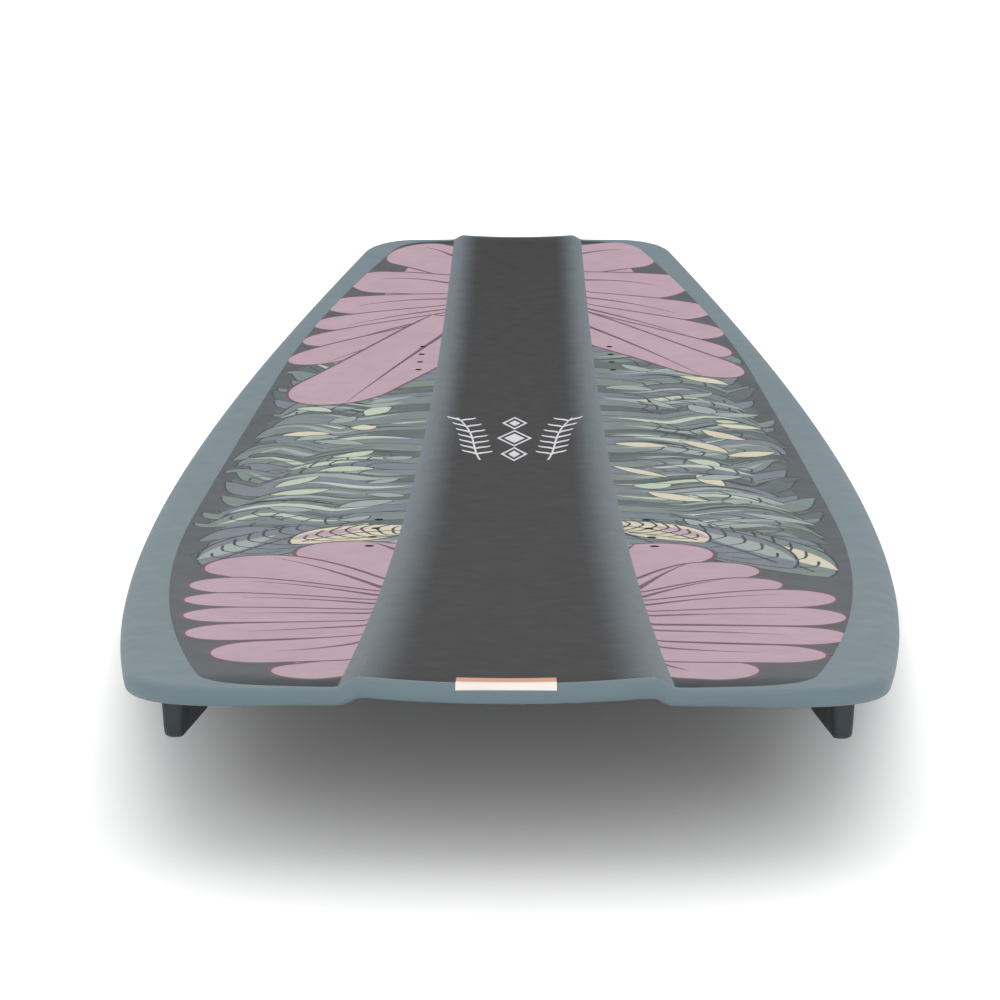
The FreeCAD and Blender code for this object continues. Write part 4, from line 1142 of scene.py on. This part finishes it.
def build_fin(corner, side, end):
    """One fin: a screwed foot on the base and a long, low blade, blunt towards the board's tip.

    side is -1 on the left, end is -1 at the tail.
    """
    node = f"fin_{corner}"
    low, high = corners_mm(node)
    along = abs(low.y + high.y) / 2
    lean = asin(along / BASE_RADIUS)
    height = BASE_RADIUS * (1 - cos(lean))
    spot = Matrix.Translation(Vector(((low.x + high.x) / 2, end * along, height)) * MM)
    place = spot @ Matrix.Rotation(end * lean, 4, "X")
    loops = fin_loops()
    points = [(side * x, end * y, z) for ring in loops for x, y, z in ring]
    faces = stacked_faces(len(loops), len(loops[0]))
    fin = new_object(f"fin_shape_{corner}", points, faces, [FIN_MATERIAL], sharp_degrees=40.0)
    face_outwards(fin)
    fin.matrix_world = place
    for station in (-SCREW_HALF_PITCH, SCREW_HALF_PITCH):
        cutter = cone_cutter(f"sink_{corner}", place, station)
        cut = fin.modifiers.new("sink", "BOOLEAN")
        cut.operation = "DIFFERENCE"
        cut.solver = "EXACT"
        cut.object = cutter
        bpy.context.view_layer.update()
        apply_modifiers(fin)
        bpy.data.objects.remove(cutter)
    fin.data.transform(fin.matrix_world)
    fin.matrix_world = Matrix.Identity(4)
    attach(fin, "root")
    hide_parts(node)


def apply_modifiers(piece):
    """Replaces a piece's mesh with what its modifiers make of it."""
    graph = bpy.context.evaluated_depsgraph_get()
    mesh = bpy.data.meshes.new_from_object(piece.evaluated_get(graph))
    piece.modifiers.clear()
    piece.data = mesh


# ---- Label ----

LABEL_HALF_WIDTH = 18.5
LABEL_THICKNESS = 0.2
LABEL_LIFT = 0.02  # clearance over the rail
LABEL_STEPS = 24
# distances in from the board's edge
LABEL_START, LABEL_END = 14.0, 0.15
WARM_END, WHITE_START = 5.2, 5.0


def rail_top(x, y):
    """Height of the rail's upper surface near a tip, y being the distance from the middle."""
    board_edge = BOARD.tip_point(x)[1]
    panel_edge = PANEL.tip_point(x)[1]
    thickness = deck_height(x, board_edge) - base_height(x, board_edge)
    top_in, top_drop, _, _ = rail_rolls(thickness, board_edge - panel_edge)
    return deck_height(x, y) - rolled_off(board_edge - y, top_in, top_drop)


def build_label():
    """A blank film over the tail end of the spine: a warm upper band and a white lower band."""
    film = [
        printed("label_warm", (178, 128, 100), variation=0.04, roughness=0.35),
        printed("label_white", (205, 198, 192), variation=0.03, roughness=0.35),
    ]
    columns = spread(-LABEL_HALF_WIDTH, LABEL_HALF_WIDTH, LABEL_STEPS)
    edge = BOARD.tip_point(0.0)[1]
    rows = spread(edge - LABEL_START, edge - WARM_END, 6)
    rows += spread(edge - WHITE_START, edge - LABEL_END, 12)
    points = []
    for lift in (LABEL_THICKNESS, LABEL_LIFT):
        for y in rows:
            points += [(x, -y, rail_top(x, y) + lift) for x in columns]
    wide = len(columns)
    quads = []
    inks = []
    for r in range(len(rows) - 1):
        for a in range(r * wide, r * wide + wide - 1):
            quads.append((a, a + 1, a + 1 + wide, a + wide))
            inks.append(0 if rows[r] < edge - WHITE_START else 1)
    faces = shell_faces(quads, wide * len(rows))
    inks += [0] * len(quads) + [1] * (len(faces) - 2 * len(quads))
    label = new_object("edge_label", points, faces, film, inks, 40.0)
    face_outwards(label)
    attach(label, "root")
    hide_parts("deck_label")


# ---- CAD nodes that keep their shape ----


def finish_nodes():
    """Gives the pieces inside the board their materials."""
    finishes = {
        "foam_core": foam_finish(),
        "upper_glass": woven_finish("glass_cloth", (172, 180, 168), pitch=0.0016),
        "binding_inserts": turned_metal("insert_brass", (170, 136, 78), roughness=0.35),
        "insert_block": moulded("block_composite", (150, 128, 92), 0.6, 500.0, 0.4, variation=0.1),
        "fin_screws": turned_metal("screw_steel", (176, 178, 180), roughness=0.3),
    }
    finishes["lower_glass"] = finishes["upper_glass"]
    finishes["fin_nuts"] = finishes["binding_inserts"]
    for name, node in frame["nodes"].items():
        for key, material in finishes.items():
            if name.startswith(key):
                for slot in node.material_slots:
                    slot.material = material


# ---- Floor, light and camera ----


FLOOR_HALF = 9000
WORLD_STRENGTH = 1.13


def build_floor():
    corners = ((-1, -1), (1, -1), (1, 1), (-1, 1))
    points = [(x * FLOOR_HALF, y * FLOOR_HALF, 0) for x, y in corners]
    finish = Finish("floor_paper", 0.9, specular=0.2)
    tone = finish.ranged(finish.noise(3.0, 2.0), 0.3, 0.7)
    finish.colour(finish.mixed(tone, (0.95, 0.95, 0.95, 1.0), (0.96, 0.96, 0.96, 1.0)))
    floor = new_object("floor", points, [(0, 1, 2, 3)], [finish.material])


def area_light(name, power, size, place, aim):
    """A rectangular lamp that faces the point it is aimed at."""
    data = bpy.data.lights.new(name, "AREA")
    data.energy = power
    data.shape = "RECTANGLE"
    data.size, data.size_y = size
    lamp = add_object(name, data)
    lamp.location = place
    lamp.rotation_euler = (Vector(aim) - Vector(place)).to_track_quat("-Z", "Y").to_euler()


def build_light():
    world = bpy.data.worlds.new("studio")
    world.use_nodes = True
    background = world.node_tree.nodes["Background"]
    background.inputs["Color"].default_value = (1.0, 1.0, 1.0, 1.0)
    background.inputs["Strength"].default_value = WORLD_STRENGTH
    bpy.context.scene.world = world
    area_light("overhead", 26.0, size=(2.6, 3.2), place=(0.0, 0.1, 2.2), aim=(0.0, 0.0, 0.0))
    area_light("front", 12.0, size=(1.8, 0.5), place=(0.0, -2.6, 0.4), aim=(0.0, -0.6, 0.05))
    bpy.context.scene.view_settings.view_transform = "Standard"


CAMERA_PLACE = (0.0063, -1.4117, 0.3305)
CAMERA_LENS, CAMERA_SENSOR = 76.78, 36.0  # millimetres
CAMERA_DOWN, CAMERA_YAW, CAMERA_ROLL = 13.946, -0.654, -0.082  # degrees


def build_camera():
    data = bpy.data.cameras.new("camera")
    data.lens = CAMERA_LENS
    data.sensor_width = CAMERA_SENSOR
    camera = add_object("camera", data)
    down, yaw, roll = (radians(a) for a in (CAMERA_DOWN, CAMERA_YAW, CAMERA_ROLL))
    flat = cos(down)
    ahead = Vector((sin(yaw) * flat, cos(yaw) * flat, -sin(down)))
    level = Vector((cos(yaw), -sin(yaw), 0.0))
    up = level.cross(ahead)
    right = level * cos(roll) + up * sin(roll)
    up = up * cos(roll) - level * sin(roll)
    turn = Matrix((right, up, -ahead)).transposed()
    camera.matrix_world = Matrix.Translation(CAMERA_PLACE) @ turn.to_4x4()
    bpy.context.scene.camera = camera


build_camera()
build_light()
build_floor()
build_rail()
build_base()
build_deck()
for end_name, to_nose in (("tail", -1), ("nose", 1)):
    build_fin(f"{end_name}_left", -1, to_nose)
    build_fin(f"{end_name}_right", 1, to_nose)
build_label()
finish_nodes()

bpy.context.view_layer.update()
